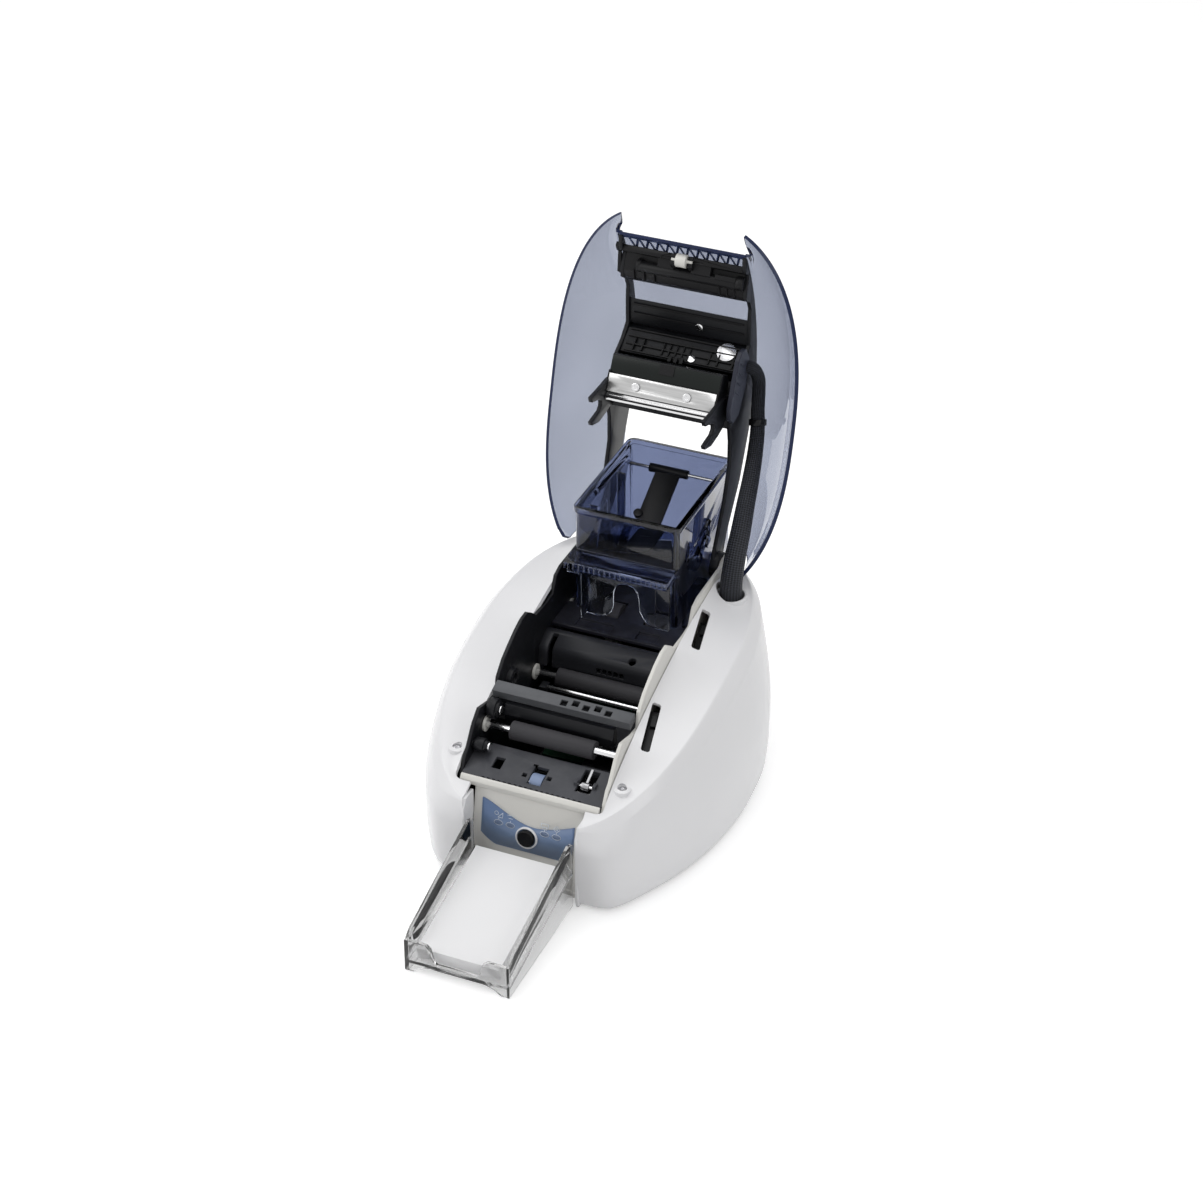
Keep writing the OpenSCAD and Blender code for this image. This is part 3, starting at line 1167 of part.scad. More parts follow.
module pinch_bar() {
    color("#1b1c1f") opened() union() {
        difference() {
            union() {
                plate_yz(-cheek_x, 2*cheek_x, in_frame(pinch_shares));
                both_sides() plate_yz(pinch_w/2 + move_gap, pinch_lug_t, in_frame(pinch_lug_shares));
            }
            box(-pinch_w/2 - move_gap, pinch_w/2 + move_gap, pinch_y - pinch_d/2 - move_gap, pinch_y + pinch_d/2 + move_gap,
                pinch_z - pinch_d, pinch_z + pinch_d/2 + move_gap);
            rod_x(-2*pinch_w, 2*pinch_w, pinch_y, pinch_z, pinch_axle_d + 2*run_gap);
        }
        plate_yz(-cheek_x - 2*cheek_t + seat_gap, cheek_t - seat_gap, in_frame(pinch_bracket_shares));
    }
}
module pinch_roller() {
    color("white") opened() union() {
        rod_x(-pinch_w/2, pinch_w/2, pinch_y, pinch_z, pinch_d);
        rod_x(-pinch_w, pinch_w, pinch_y, pinch_z, pinch_axle_d);
    }
}
// Print head: a carrier with forks that straddle the platen shaft, label strip, plate and heater bar
head_half = 37.5;
head_z = 84;
head_beam_z = 103;
head_shares = [[0.369, 0.28], [0.4262, 0.2667], [0.5095, 0.2667], [0.5143, 0.3778], [0.4905, 0.4333], [0.3881, 0.4333], [0.369, 0.3889]];
fork_shares = [[0.4286, 0.4222], [0.4476, 0.2667], [0.481, 0.1111], [0.5048, -0.0111], [0.519, 0.0222], [0.5119, 0.1222], [0.5143, 0.2], [0.5305, 0.22],
    [0.5476, 0.2], [0.5643, 0.1333], [0.581, 0.0722], [0.5905, 0.1], [0.581, 0.2222], [0.5524, 0.3333], [0.5238, 0.4222]];
module head_carrier() {
    color("#222327") opened() difference() {
        union() {
            plate_yz(-head_half, 2*head_half, in_frame(head_shares));
            both_sides() plate_yz(fork_x - over/2, fork_t + over/2, in_frame(fork_shares));
        }
        both_sides() translate([post_x, post_y, 0]) {
            cylinder(h = 2*head_z, d = post_d + 2*run_gap);
            cylinder(h = head_z + 2*post_head_t + 2*seat_gap, d = post_head_d + 2*move_gap);
        }
    }
}
strip_t = 0.8;
strip_rise = 1.05;
strip_y0 = -1.5;
strip_y1 = 9;
plate_y0 = 9.8;
plate_y1 = 21.5;
plate_head_t = 2.2;
plate_half = 36.6;
heater_y0 = 23.5;
heater_y1 = 27;
heater_low = 0.4;
module head_label() {
    color("#2b2a28") opened() plate_yz(-plate_half - over/2, 2*plate_half + over, [[strip_y0, head_z + strip_rise], [strip_y1, head_z],
        [strip_y1, head_z - strip_t], [strip_y0, head_z + strip_rise - strip_t]]);
}
head_screw_x = 17.5;
head_screw_d = 5.4;
head_screw_sink = 1;
module head_plate() {
    color("#b9bec4") opened() difference() {
        box(-plate_half, plate_half, plate_y0, plate_y1, head_z - plate_head_t, head_z);
        both_sides() translate([head_screw_x, (plate_y0 + plate_y1)/2, head_z - plate_head_t - over])
            cylinder(h = head_screw_sink + over, d = head_screw_d + 2*run_gap);
    }
}
module heater_bar() {
    color("#c9ccd0") opened() union() {
        box(-plate_half, plate_half, plate_y1 + seat_gap, heater_y0, head_z - plate_head_t/2, head_z);
        box(-plate_half, plate_half, heater_y0, heater_y1, head_z - plate_head_t - heater_low, head_z);
    }
}
module head_screws() {
    color("silver") opened() both_sides() translate([head_screw_x, (plate_y0 + plate_y1)/2, head_z - plate_head_t]) difference() {
        translate([0, 0, -head_screw_sink]) cylinder(h = 2*head_screw_sink, d = head_screw_d);
        translate([0, 0, -2*head_screw_sink]) cylinder(h = 3/2*head_screw_sink, d = head_screw_d/2);
    }
}

// Braided sleeve from the collar in the right cover up to the cover's frame, points chosen by hand
cable_reach_x = 75;
cable_reach_y = 80;
cable_reach_z = 160;
cable_from_y = 96;
cable_from_z = 100;
cable_shares = [[0.8, 0.075, 0.05], [0.8, 0.075, 0.113], [0.8, 0.087, 0.175], [0.8, 0.15, 0.263], [0.795, 0.275, 0.35],
    [0.773, 0.425, 0.425], [0.747, 0.6, 0.5], [0.72, 0.75, 0.575], [0.693, 0.863, 0.65], [0.667, 0.925, 0.725],
    [0.661, 0.95, 0.8], [0.661, 0.938, 0.863], [0.648, 0.881, 0.916], [0.619, 0.831, 0.941], [0.577, 0.8, 0.953]];
cable_points = [for (c = cable_shares) [c[0]*cable_reach_x, cable_from_y + c[1]*cable_reach_y, cable_from_z + c[2]*cable_reach_z]];
cable_sides = 10;
cable_rings = 32;
cable_slim_u = 0.75;
cable_du = 0.002;
cable_turn = [0, 1, 0.2];
function cable_at(u) =
    let (n = len(cable_points) - 1, i = min(n - 1, floor(u*n)), t = u*n - i,
        p0 = cable_points[max(0, i - 1)], p1 = cable_points[i], p2 = cable_points[i + 1], p3 = cable_points[min(n, i + 2)])
    0.5*(2*p1 + (p2 - p0)*t + (2*p0 - 5*p1 + 4*p2 - p3)*t*t + (3*p1 - p0 - 3*p2 + p3)*t*t*t);
function cable_width(u) = cable_d + (cable_low_d - cable_d)*0.5*(1 + cos(180*min(1, u/cable_slim_u)));
function cable_ring(u) =
    let (d = cable_at(min(1, u + cable_du)) - cable_at(max(0, u - cable_du)), f = d/norm(d),
        s = cross(f, cable_turn)/norm(cross(f, cable_turn)), v = cross(s, f))
    [for (k = [0:cable_sides - 1]) let (a = 360*k/cable_sides) cable_at(u) + (s*cos(a) + v*sin(a))*cable_width(u)/2];
module cable_sleeve() {
    color("#151515") skin([for (i = [cable_rings:-1:0]) cable_ring(i/cable_rings)]);
}
tie_u = 0.6;
tie_w = 4;
tie_t = 1.2;
module cable_tie() {
    p = cable_at(tie_u);
    d = cable_at(tie_u + cable_du) - cable_at(tie_u - cable_du);
    color("black") translate(p) rotate([0, acos(d[2]/norm(d)), atan2(d[1], d[0])]) difference() {
        translate([0, 0, -tie_w/2]) cylinder(h = tie_w, d = cable_width(tie_u) + 2*tie_t);
        translate([0, 0, -tie_w]) cylinder(h = 2*tie_w, d = cable_width(tie_u) + 3*seat_gap);
    }
}

base_pan();
rubber_feet();
left_cover();
right_cover();
cover_screws();
left_side_plate();
right_side_plate();
front_panel();
panel_label();
status_lenses();
control_board();
main_board();
card_path_plate();
crossmember();
head_bay();
guide_ridge();
hopper_deck();
steel_rod();
roller_bushings();
spool_pins();
front_spool_hub();
rear_spool_hub();
drive_motor();
front_belt();
rear_belt();
rear_panel();
power_inlet();
usb_socket();
input_hopper();
gauge_plate();
hinge_pins();
flap_pin();
lever_pin();
button_bezel();
front_button();
power_switch();
transport_roller();
drive_roller();
print_platen();
feed_roller();
motor_pulleys();
sensor_lever();
card_press_flap();
output_tray();
card_stack();
lid_shell();
lid_ribs();
lid_frame();
lid_beams();
lid_screws();
lid_disc();
pinch_bar();
pinch_roller();
head_carrier();
head_label();
head_plate();
heater_bar();
head_screws();
cable_sleeve();
cable_tie();
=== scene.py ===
# The open card printer's looks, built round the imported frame. Metres, +Z up, front towards -Y.
# Each section is one piece or group of like pieces, in the order in which the printer is put together.
import json
import math

import bmesh
import bpy
from mathutils import Matrix, Vector

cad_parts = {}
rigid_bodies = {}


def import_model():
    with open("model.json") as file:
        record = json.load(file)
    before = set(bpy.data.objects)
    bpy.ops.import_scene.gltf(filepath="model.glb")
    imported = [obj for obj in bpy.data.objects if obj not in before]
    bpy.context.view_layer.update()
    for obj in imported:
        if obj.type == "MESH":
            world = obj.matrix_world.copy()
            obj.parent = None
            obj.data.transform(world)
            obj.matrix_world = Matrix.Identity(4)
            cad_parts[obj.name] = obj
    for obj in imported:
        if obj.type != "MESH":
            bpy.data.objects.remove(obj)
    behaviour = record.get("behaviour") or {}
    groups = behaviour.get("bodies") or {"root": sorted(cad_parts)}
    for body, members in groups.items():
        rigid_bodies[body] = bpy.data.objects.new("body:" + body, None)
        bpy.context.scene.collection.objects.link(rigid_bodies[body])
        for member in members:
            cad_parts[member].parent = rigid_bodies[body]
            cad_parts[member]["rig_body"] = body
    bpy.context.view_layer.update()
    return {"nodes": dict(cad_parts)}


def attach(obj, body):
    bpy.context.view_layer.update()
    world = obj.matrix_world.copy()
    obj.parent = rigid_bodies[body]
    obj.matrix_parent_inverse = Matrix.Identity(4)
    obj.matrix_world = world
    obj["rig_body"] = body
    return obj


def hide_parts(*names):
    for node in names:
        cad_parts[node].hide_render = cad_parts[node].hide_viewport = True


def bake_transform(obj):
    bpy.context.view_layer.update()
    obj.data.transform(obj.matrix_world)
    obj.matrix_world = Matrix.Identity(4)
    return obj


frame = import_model()

# Base pan and feet.
# The pan is a flat moulding in dark grey plastic with a fine spark-eroded grain. Four rubber feet are
# pressed into round pockets under it, and the clips of both side covers stand on it.
mm = 0.001
pan_grey = (0.045, 0.046, 0.05)
foot_black = (0.016, 0.016, 0.017)
grain_per_metre = 2200.0
fine_grain = 0.00001
handling_per_metre = 18.0
handling_gloss = 0.06
clouds_per_metre = 90.0
edge_angle = math.radians(30)
flat_angle = math.radians(0.4)
weld = 2e-6
dark_limit = 0.12
dark_shine = 0.2


def node_in(tree, kind, links, **settings):
    """Adds one shader node, with its settings, its values and its links."""
    node = tree.nodes.new("ShaderNode" + kind)
    for name, value in settings.items():
        setattr(node, name, value)
    for name, source in links.items():
        if isinstance(source, bpy.types.NodeSocket):
            tree.links.new(source, node.inputs[name])
        else:
            node.inputs[name].default_value = source
    return node


def new_group(name, takes, gives):
    """An empty shader node group with named inputs and outputs."""
    tree = bpy.data.node_groups.new(name, "ShaderNodeTree")
    for label, kind in takes:
        tree.interface.new_socket(label, in_out="INPUT", socket_type="NodeSocket" + kind)
    for label, kind in gives:
        tree.interface.new_socket(label, in_out="OUTPUT", socket_type="NodeSocket" + kind)
    return tree, tree.nodes.new("NodeGroupInput").outputs, tree.nodes.new("NodeGroupOutput").inputs


def object_place(tree):
    return node_in(tree, "TexCoord", {}).outputs["Object"]


def noise(tree, place, scale, detail, **more):
    """Cloudy noise, with its size in waves per metre."""
    values = {"Vector": place, "Scale": scale, "Detail": detail, **more}
    return node_in(tree, "TexNoise", values).outputs["Fac"]


def combined(tree, a, b, how, held=False):
    """Two values added, multiplied or the like, held between 0 and 1 if asked."""
    return node_in(tree, "Math", {0: a, 1: b}, operation=how, use_clamp=held).outputs[0]


def ranged(tree, value, low=0.0, high=1.0, to_low=0.0, to_high=1.0, **settings):
    """Stretches a value from one range to another."""
    ends = {"Value": value, "From Min": low, "From Max": high, "To Min": to_low, "To Max": to_high}
    return node_in(tree, "MapRange", ends, **settings).outputs[0]


def between(tree, share, first, second):
    """A colour that goes from the first to the second."""
    return node_in(tree, "Mix", {0: share, 6: first, 7: second}, data_type="RGBA").outputs[2]


def tinted(tree, color, factor):
    """A colour times a grey factor that changes over the surface."""
    node = node_in(tree, "Mix", {0: 1.0, 6: color, 7: factor}, data_type="RGBA", blend_type="MULTIPLY")
    return node.outputs[2]


# Moulded plastic: slow changes of tone and of gloss from handling, and a fine grain
moulded, takes, gives = new_group(
    "moulded_plastic",
    [("Color", "Color"), ("Tone", "Float"), ("Gloss", "Float"), ("Grain", "Float")],
    [("Color", "Color"), ("Roughness", "Float"), ("Height", "Float")],
)
place = object_place(moulded)
slow = noise(moulded, place, handling_per_metre, 1.0)
low_tone = combined(moulded, 1.0, takes["Tone"], "SUBTRACT")
high_tone = combined(moulded, 1.0, takes["Tone"], "ADD")
tone = ranged(moulded, slow, 0.3, 0.7, low_tone, high_tone)
moulded.links.new(tinted(moulded, takes["Color"], tone), gives["Color"])
rubbed = ranged(moulded, slow, to_low=-handling_gloss, to_high=handling_gloss)
moulded.links.new(combined(moulded, takes["Gloss"], rubbed, "ADD", True), gives["Roughness"])
moulded.links.new(noise(moulded, place, takes["Grain"], 2.0), gives["Height"])

# Dust that settles on faces that look up, together with a painted sheen of the light from above: up-facing
# faces are lightened
dust_and_sheen, takes, gives = new_group("dust_and_top_sheen", [("Amount", "Float")], [("Mask", "Float")])
normal = node_in(dust_and_sheen, "NewGeometry", {}).outputs["Normal"]
facing = ranged(dust_and_sheen, node_in(dust_and_sheen, "SeparateXYZ", {0: normal}).outputs[2], 0.55, 1.0)
thick = ranged(dust_and_sheen, noise(dust_and_sheen, object_place(dust_and_sheen), clouds_per_metre, 6.0), 0.42, 0.75)
dust_and_sheen_mask = combined(dust_and_sheen, facing, thick, "MULTIPLY")
dust_and_sheen.links.new(combined(dust_and_sheen, dust_and_sheen_mask, takes["Amount"], "MULTIPLY", True), gives["Mask"])


def new_material(name):
    material = bpy.data.materials.new(name)
    material.use_nodes = True
    return material, material.node_tree, material.node_tree.nodes["Principled BSDF"]


def bumped(tree, shader, height, depth):
    bump = node_in(tree, "Bump", {"Height": height, "Strength": 1.0, "Distance": depth})
    tree.links.new(bump.outputs["Normal"], shader.inputs["Normal"])


def moulded_skin(tree, color, tone, gloss, grain):
    """The moulded plastic group with its values, placed in one material."""
    values = {"Color": color, "Tone": tone, "Gloss": gloss, "Grain": grain}
    return node_in(tree, "Group", values, node_tree=moulded)


def plastic(name, color, gloss, tone=0.05, grain=grain_per_metre, depth=fine_grain,
            dust_sheen=0.0, dust_sheen_color=(0.3, 0.3, 0.31), worn=True):
    """Opaque moulded plastic or rubber in one colour. The dark ones shine less. Faces that look up can get
    dust with a painted top sheen.
    """
    material, tree, shader = new_material(name)
    skin = moulded_skin(tree, (*color, 1.0), tone, gloss, grain)
    finish = skin.outputs["Color"]
    if dust_sheen:
        cover = node_in(tree, "Group", {"Amount": dust_sheen}, node_tree=dust_and_sheen)
        finish = between(tree, cover.outputs["Mask"], finish, (*dust_sheen_color, 1.0))
    tree.links.new(finish, shader.inputs["Base Color"])
    if max(color) < dark_limit:
        shader.inputs["Specular IOR Level"].default_value = dark_shine
    if worn:
        tree.links.new(skin.outputs["Roughness"], shader.inputs["Roughness"])
    else:
        shader.inputs["Roughness"].default_value = gloss
    bumped(tree, shader, skin.outputs["Height"], depth)
    return material


def painted(node, material):
    """Gives a CAD node its material."""
    mesh = frame["nodes"][node].data
    mesh.materials.clear()
    mesh.materials.append(material)


def placed(bm, name, material):
    """Puts a bmesh in the scene as an object of one material."""
    mesh = bpy.data.meshes.new(name)
    bm.to_mesh(mesh)
    bm.free()
    mesh.materials.append(material)
    thing = bpy.data.objects.new(name, mesh)
    bpy.context.scene.collection.objects.link(thing)
    return thing


def new_piece(bm, name, body, material, nodes=(), bevel=0.0):
    """A smooth-shaded piece with its edges rounded by bevel in mm, its body, slot and CAD nodes."""
    for face in bm.faces:
        face.smooth = True
    thing = placed(bm, name, material)
    if bevel:
        soft = thing.modifiers.new("soft edges", "BEVEL")
        soft.width = bevel * mm
        soft.segments = 2
        soft.limit_method = "ANGLE"
        soft.angle_limit = edge_angle
        soft.harden_normals = True
        soft.use_clamp_overlap = False
    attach(thing, body)
    if nodes:
        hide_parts(*nodes)
    return thing


def cad_copy(node):
    """A merged copy of a CAD node's mesh, with its flat faces made whole."""
    bm = bmesh.new()
    bm.from_mesh(frame["nodes"][node].data)
    bmesh.ops.remove_doubles(bm, verts=bm.verts, dist=weld)
    bmesh.ops.dissolve_limit(bm, angle_limit=flat_angle, verts=bm.verts, edges=bm.edges)
    return bm


def softened(node, material, bevel=0.25):
    """A copy of a CAD node with small rounded edges, which stands for it."""
    body = frame["nodes"][node]["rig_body"]
    return new_piece(cad_copy(node), node + "_soft", body, material, [node], bevel)


# The pan's up-facing faces are lightened, partly as dust and partly as a painted sheen of the light from
# above.
pan_plastic = plastic("pan plastic", pan_grey, 0.55, dust_sheen=0.2)
foot_rubber = plastic("foot rubber", foot_black, 0.75, grain=900.0, depth=0.00006)
softened("base_pan", pan_plastic, 0.4)
softened("rubber_feet", foot_rubber, 0.8)

# Chassis walls.
# Two upright mouldings carry every shaft: the left one is black like the works, the right one is cream
# and shows as a pale band beside the cover. Their scalloped tops guide the ribbon.
works_black = (0.008, 0.0085, 0.0105)
deep_black = (0.006, 0.006, 0.007)
cream = (0.70, 0.69, 0.655)
works_dust_sheen = (0.12, 0.12, 0.13)
inside_dust_sheen = (0.14, 0.14, 0.15)
# Up-facing faces of both black works plastics are lightened, partly as dust and partly as a painted sheen
# from above.
black_works = plastic("black works plastic", works_black, 0.40, tone=0.22, dust_sheen=0.05, dust_sheen_color=works_dust_sheen)
black_inside = plastic("deep black plastic", deep_black, 0.46, tone=0.2, dust_sheen=0.06, dust_sheen_color=inside_dust_sheen)
cream_plastic = plastic("cream plastic", cream, 0.36, tone=0.03)


def works_part(node, bevel):
    """A softened part moulded in the black of the works."""
    softened(node, black_works, bevel)


works_part("left_side_plate", 0.35)
softened("right_side_plate", cream_plastic, 0.35)

# Drive train behind the right wall.
# A square stepper motor turns two toothed pulleys, and two thin rubber belts carry the turn to the four
# shafts. The boards are green laminate under a satin solder mask.
motor_grey = (0.05, 0.05, 0.055)
pulley_grey = (0.5, 0.5, 0.51)
board_green = (0.012, 0.075, 0.035)


def metal(name, color, gloss, streak, tone=0.12):
    """Drawn or brushed metal, with streaks that are fine across and long along the piece."""
    material, tree, shader = new_material(name)
    longways = node_in(tree, "Mapping", {"Vector": object_place(tree), "Scale": streak})
    lines = noise(tree, longways.outputs[0], 1.0, 5.0, Roughness=0.7)
    shade = ranged(tree, lines, 0.25, 0.75, 1.0 - tone, 1.0 + tone)
    tree.links.new(tinted(tree, (*color, 1.0), shade), shader.inputs["Base Color"])
    rough = ranged(tree, lines, to_low=gloss - 0.08, to_high=gloss + 0.1)
    tree.links.new(rough, shader.inputs["Roughness"])
    shader.inputs["Metallic"].default_value = 1.0
    bumped(tree, shader, lines, fine_grain)
    return material


motor_steel = metal("motor steel", motor_grey, 0.45, (60.0, 60.0, 900.0))
pulley_steel = metal("pulley steel", pulley_grey, 0.3, (60.0, 700.0, 700.0))
belt_rubber = plastic("belt rubber", foot_black, 0.7, grain=700.0, depth=0.00008)
board_mask = plastic("board mask", board_green, 0.35, tone=0.25, grain=500.0, depth=0.00004)
softened("drive_motor", motor_steel, 0.6)
softened("motor_pulleys", pulley_steel, 0.12)
for belt in ("front_belt", "rear_belt"):
    painted(belt, belt_rubber)
for board in ("main_board", "control_board"):
    softened(board, board_mask, 0.15)

# Front panel with its printed label.
# A cream moulding that leans back, with a lip over the card path. A film printed in blue, with a waved
# upper edge, is stuck on it.
panel_y = -87.0
label_low = 27.0
lean = math.radians(10.2)
film_thick = 0.8
film_steps = 40
fade_low = 28.0
fade_high = 56.0
film_half = 31.0
film_blue = (0.105, 0.175, 0.335)
film_blue_low = (0.17, 0.235, 0.36)
film_top = 57.0
wave_dip = 12.5
wave_end = 5.0
wave_low_x = 5.0
bow_left = 33.5
bow_low = 24.6
bow_right = 32.0


def leant():
    """Leans a piece drawn upright at the panel's place back with the panel."""
    foot = Vector((0, panel_y * mm, label_low * mm))
    return Matrix.Translation(foot) @ Matrix.Rotation(-lean, 4, "X") @ Matrix.Translation(-foot)


def flat_shape(bm, points, axes, at, thick):
    """Extrudes an outline in mm, given in two axes, by thick along the third."""
    third = 3 - axes[0] - axes[1]
    corners = []
    for p in points:
        spot = Vector((0, 0, 0))
        spot[axes[0]], spot[axes[1]], spot[third] = p[0] * mm, p[1] * mm, at * mm
        corners.append(bm.verts.new(spot))
    face = bm.faces.new(corners)
    grown = bmesh.ops.extrude_face_region(bm, geom=[face])
    shift = Vector((0, 0, 0))
    shift[third] = thick * mm
    far = [v for v in grown["geom"] if isinstance(v, bmesh.types.BMVert)]
    bmesh.ops.translate(bm, verts=far, vec=shift)


def outward(bm):
    bmesh.ops.recalc_face_normals(bm, faces=bm.faces)


def moved(bm, matrix):
    bmesh.ops.transform(bm, matrix=matrix, verts=bm.verts)


def circle_points(x, y, d, steps):
    turns = [2 * math.pi * i / steps for i in range(steps)]
    return [(x + d / 2 * math.cos(t), y + d / 2 * math.sin(t)) for t in turns]


softened("front_panel", cream_plastic, 0.5)


def wave_top(x):
    """Upper edge of the blue field: high on the left, lowest right of the middle, then rising a little."""
    if x < wave_low_x:
        share = (x + film_half) / (wave_low_x + film_half)
        return film_top - wave_dip * math.sin(share * math.pi / 2) ** 1.35
    share = (x - wave_low_x) / (film_half - wave_low_x)
    return film_top - wave_dip + (wave_dip - wave_end) * share ** 1.6


def bow_bottom(x):
    """Lower edge of the blue field, a shallow bow with round ends."""
    side = bow_left if x < 0 else bow_right
    return bow_low + (side - bow_low) * abs(x / film_half) ** 3.2


xs = [-film_half + 2 * film_half * i / film_steps for i in range(film_steps + 1)]
low_edge = [(x, max(label_low, bow_bottom(x))) for x in xs]
high_edge = [(x, wave_top(x)) for x in reversed(xs)]
film_material, tree, shader = new_material("printed film")
height = node_in(tree, "SeparateXYZ", {0: object_place(tree)}).outputs[2]
fade = ranged(tree, height, fade_low * mm, fade_high * mm, interpolation_type="SMOOTHSTEP")
skin = moulded_skin(tree, between(tree, fade, (*film_blue_low, 1.0), (*film_blue, 1.0)), 0.03, 0.38, 3000.0)
tree.links.new(skin.outputs["Color"], shader.inputs["Base Color"])
tree.links.new(skin.outputs["Roughness"], shader.inputs["Roughness"])
bumped(tree, shader, skin.outputs["Height"], fine_grain)
bm = bmesh.new()
flat_shape(bm, low_edge + high_edge, (0, 2), panel_y - film_thick, film_thick)
outward(bm)
moved(bm, leant())
new_piece(bm, "label_film", "body", film_material, ["panel_label"])

# Marks, status lights and button ring.
# The marks are thin ink on the film: a drop and wedge, a card, a tray and a lozenge, each tied to its
# light by a short line. The lights are small blue lenses and the ring is white plastic.
ring_white = (0.82, 0.82, 0.83)
mark_blue = (0.74, 0.80, 0.88)
mark_width = 0.36
mark_thick = 0.05
lens_blue = (0.13, 0.18, 0.29)
mark_ink = plastic("mark ink", mark_blue, 0.5, grain=3000.0)
lens_plastic = plastic("lens plastic", lens_blue, 0.18, tone=0.08)
marks = bmesh.new()


def printed_line(points, closed=False):
    """Thin strips of ink along a line of points on the film, in mm."""
    ends = points[1:] + points[:1] if closed else points[1:]
    for p, q in zip(points, ends):
        run = math.hypot(q[0] - p[0], q[1] - p[1]) + mark_width
        strip = bmesh.ops.create_cube(marks, size=1.0)["verts"]
        turn = math.atan2(q[1] - p[1], q[0] - p[0])
        bmesh.ops.scale(marks, verts=strip, vec=(run * mm, mark_thick * mm, mark_width * mm))
        bmesh.ops.rotate(marks, verts=strip, cent=(0, 0, 0), matrix=Matrix.Rotation(-turn, 3, "Y"))
        middle = Vector(((p[0] + q[0]) / 2 * mm, (panel_y - film_thick) * mm, (p[1] + q[1]) / 2 * mm))
        bmesh.ops.translate(marks, verts=strip, vec=middle)


def lozenge(size):
    half = size / 2
    return [(-half, 0), (0, half), (half, 0), (0, -half)]


light_xs = (-19.5, -11.5, 11.5, 19.5)
light_z = 42.5
mark_z = light_z + 5.4
lens_half_w = 2.9
lens_half_h = 1.75
tie_low = light_z + 1.9
tie_high = light_z + 2.8
icons = [
    (light_xs[0], True, circle_points(-1.6, 0.8, 2.6, 10)),
    (light_xs[0], True, [(-0.6, -1.8), (2.6, 1.6), (2.6, -1.8)]),
    (light_xs[1], False, [(-2.2, 1.2), (2.2, 1.2)]),
    (light_xs[1], False, [(-1.2, -0.8), (1.2, -0.8)]),
    (light_xs[2], True, [(-2.4, 1.8), (2.4, 1.8), (2.4, -0.6), (-2.4, -0.6)]),
    (light_xs[2], False, [(-1.3, -0.6), (-1.3, -2.2), (1.3, -2.2), (1.3, -0.6)]),
    (light_xs[3], True, lozenge(4.4)),
    (light_xs[3], True, lozenge(1.6)),
]
for x in light_xs:
    ring = [(x + lens_half_w * p, light_z + lens_half_h * q) for p, q in circle_points(0, 0, 2, 16)]
    printed_line(ring, True)
    printed_line([(x, tie_low), (x, tie_high)])
for x, closed, points in icons:
    printed_line([(x + p, mark_z + q) for p, q in points], closed)
moved(marks, leant())
new_piece(marks, "label_marks", "body", mark_ink)
softened("status_lenses", lens_plastic, 0.08)
ring_plastic = plastic("ring plastic", ring_white, 0.25, tone=0.03)
softened("button_bezel", ring_plastic, 0.3)

# The key, a dished black cap on a stem that slides in the ring.
# It is moulded in gloss black plastic and carries no mark of its own.
key_black = (0.008, 0.008, 0.009)
key_plastic = plastic("key plastic", key_black, 0.12, tone=0.3)
no_area = 1e-12
button_z = 37.0
key_low = 1.5
key_high = 3.5
key_rim = [
    (5.6, key_low), (5.6, key_high - 0.9), (5.0, key_high - 0.7), (5.35, key_high - 0.35), (5.1, key_high),
]
key_dish = [(4.5, key_high - 0.05), (2.6, key_high - 0.45), (0, key_high - 0.6)]


def turned(points, axis, centre, steps, closed=False):
    """A solid spun from (radius, height) points in mm, which end on the axis or close on themselves."""
    bm = bmesh.new()
    verts = [bm.verts.new(Vector((r * mm, 0, h * mm))) for r, h in points]
    ends = verts[1:] + verts[:1] if closed else verts[1:]
    edges = [bm.edges.new(pair) for pair in zip(verts, ends)]
    upright = Vector((0, 0, 1))
    bmesh.ops.spin(bm, geom=verts + edges, cent=(0, 0, 0), axis=upright, angle=2 * math.pi,
                   steps=steps, use_merge=True)
    bmesh.ops.remove_doubles(bm, verts=bm.verts, dist=weld)
    bmesh.ops.delete(bm, geom=[f for f in bm.faces if f.calc_area() < no_area], context="FACES")
    outward(bm)
    turn = upright.rotation_difference(Vector(axis)).to_matrix().to_4x4()
    moved(bm, Matrix.Translation(Vector(centre) * mm) @ turn)
    return bm


key_stem = [(0, -4.0), (3.5, -4.0), (3.5, -3.0), (2.5, -2.8), (2.5, key_low)]
bm = turned(key_stem + key_rim + key_dish, (0, -1, 0), (0, panel_y, button_z), 48)
moved(bm, leant())
new_piece(bm, "front_key", "front_button", key_plastic, ["front_button"])

# Card path.
# A black guide plate with a toothed front edge and square openings, through which a rubber-rimmed
# roller and a sprung metal lever reach the card. The long roller behind it is rubber on a steel shaft.
roller_blue = (0.20, 0.26, 0.40)
roller_black = (0.048, 0.047, 0.052)
bright = (0.72, 0.72, 0.73)
bushing_white = (0.72, 0.71, 0.67)
lever_grey = (0.32, 0.32, 0.33)
path_black = (0.048, 0.050, 0.058)
path_dust_sheen = (0.2, 0.2, 0.21)
# The path plate's up-facing faces are lightened, partly as dust and partly as a painted sheen from above.
path_plastic = plastic("path plastic", path_black, 0.42, tone=0.2, dust_sheen=0.12, dust_sheen_color=path_dust_sheen)
softened("card_path_plate", path_plastic, 0.2)
blue_tyre = plastic("blue tyre rubber", roller_blue, 0.55, tone=0.1)
black_tyre = plastic("black tyre rubber", roller_black, 0.62, tone=0.15, grain=1400.0, depth=0.00005)
shaft_steel = metal("shaft steel", bright, 0.18, (60.0, 900.0, 900.0))
lever_steel = metal("lever steel", lever_grey, 0.3, (500.0, 500.0, 80.0))
bushing_plastic = plastic("bushing plastic", bushing_white, 0.4, tone=0.05)


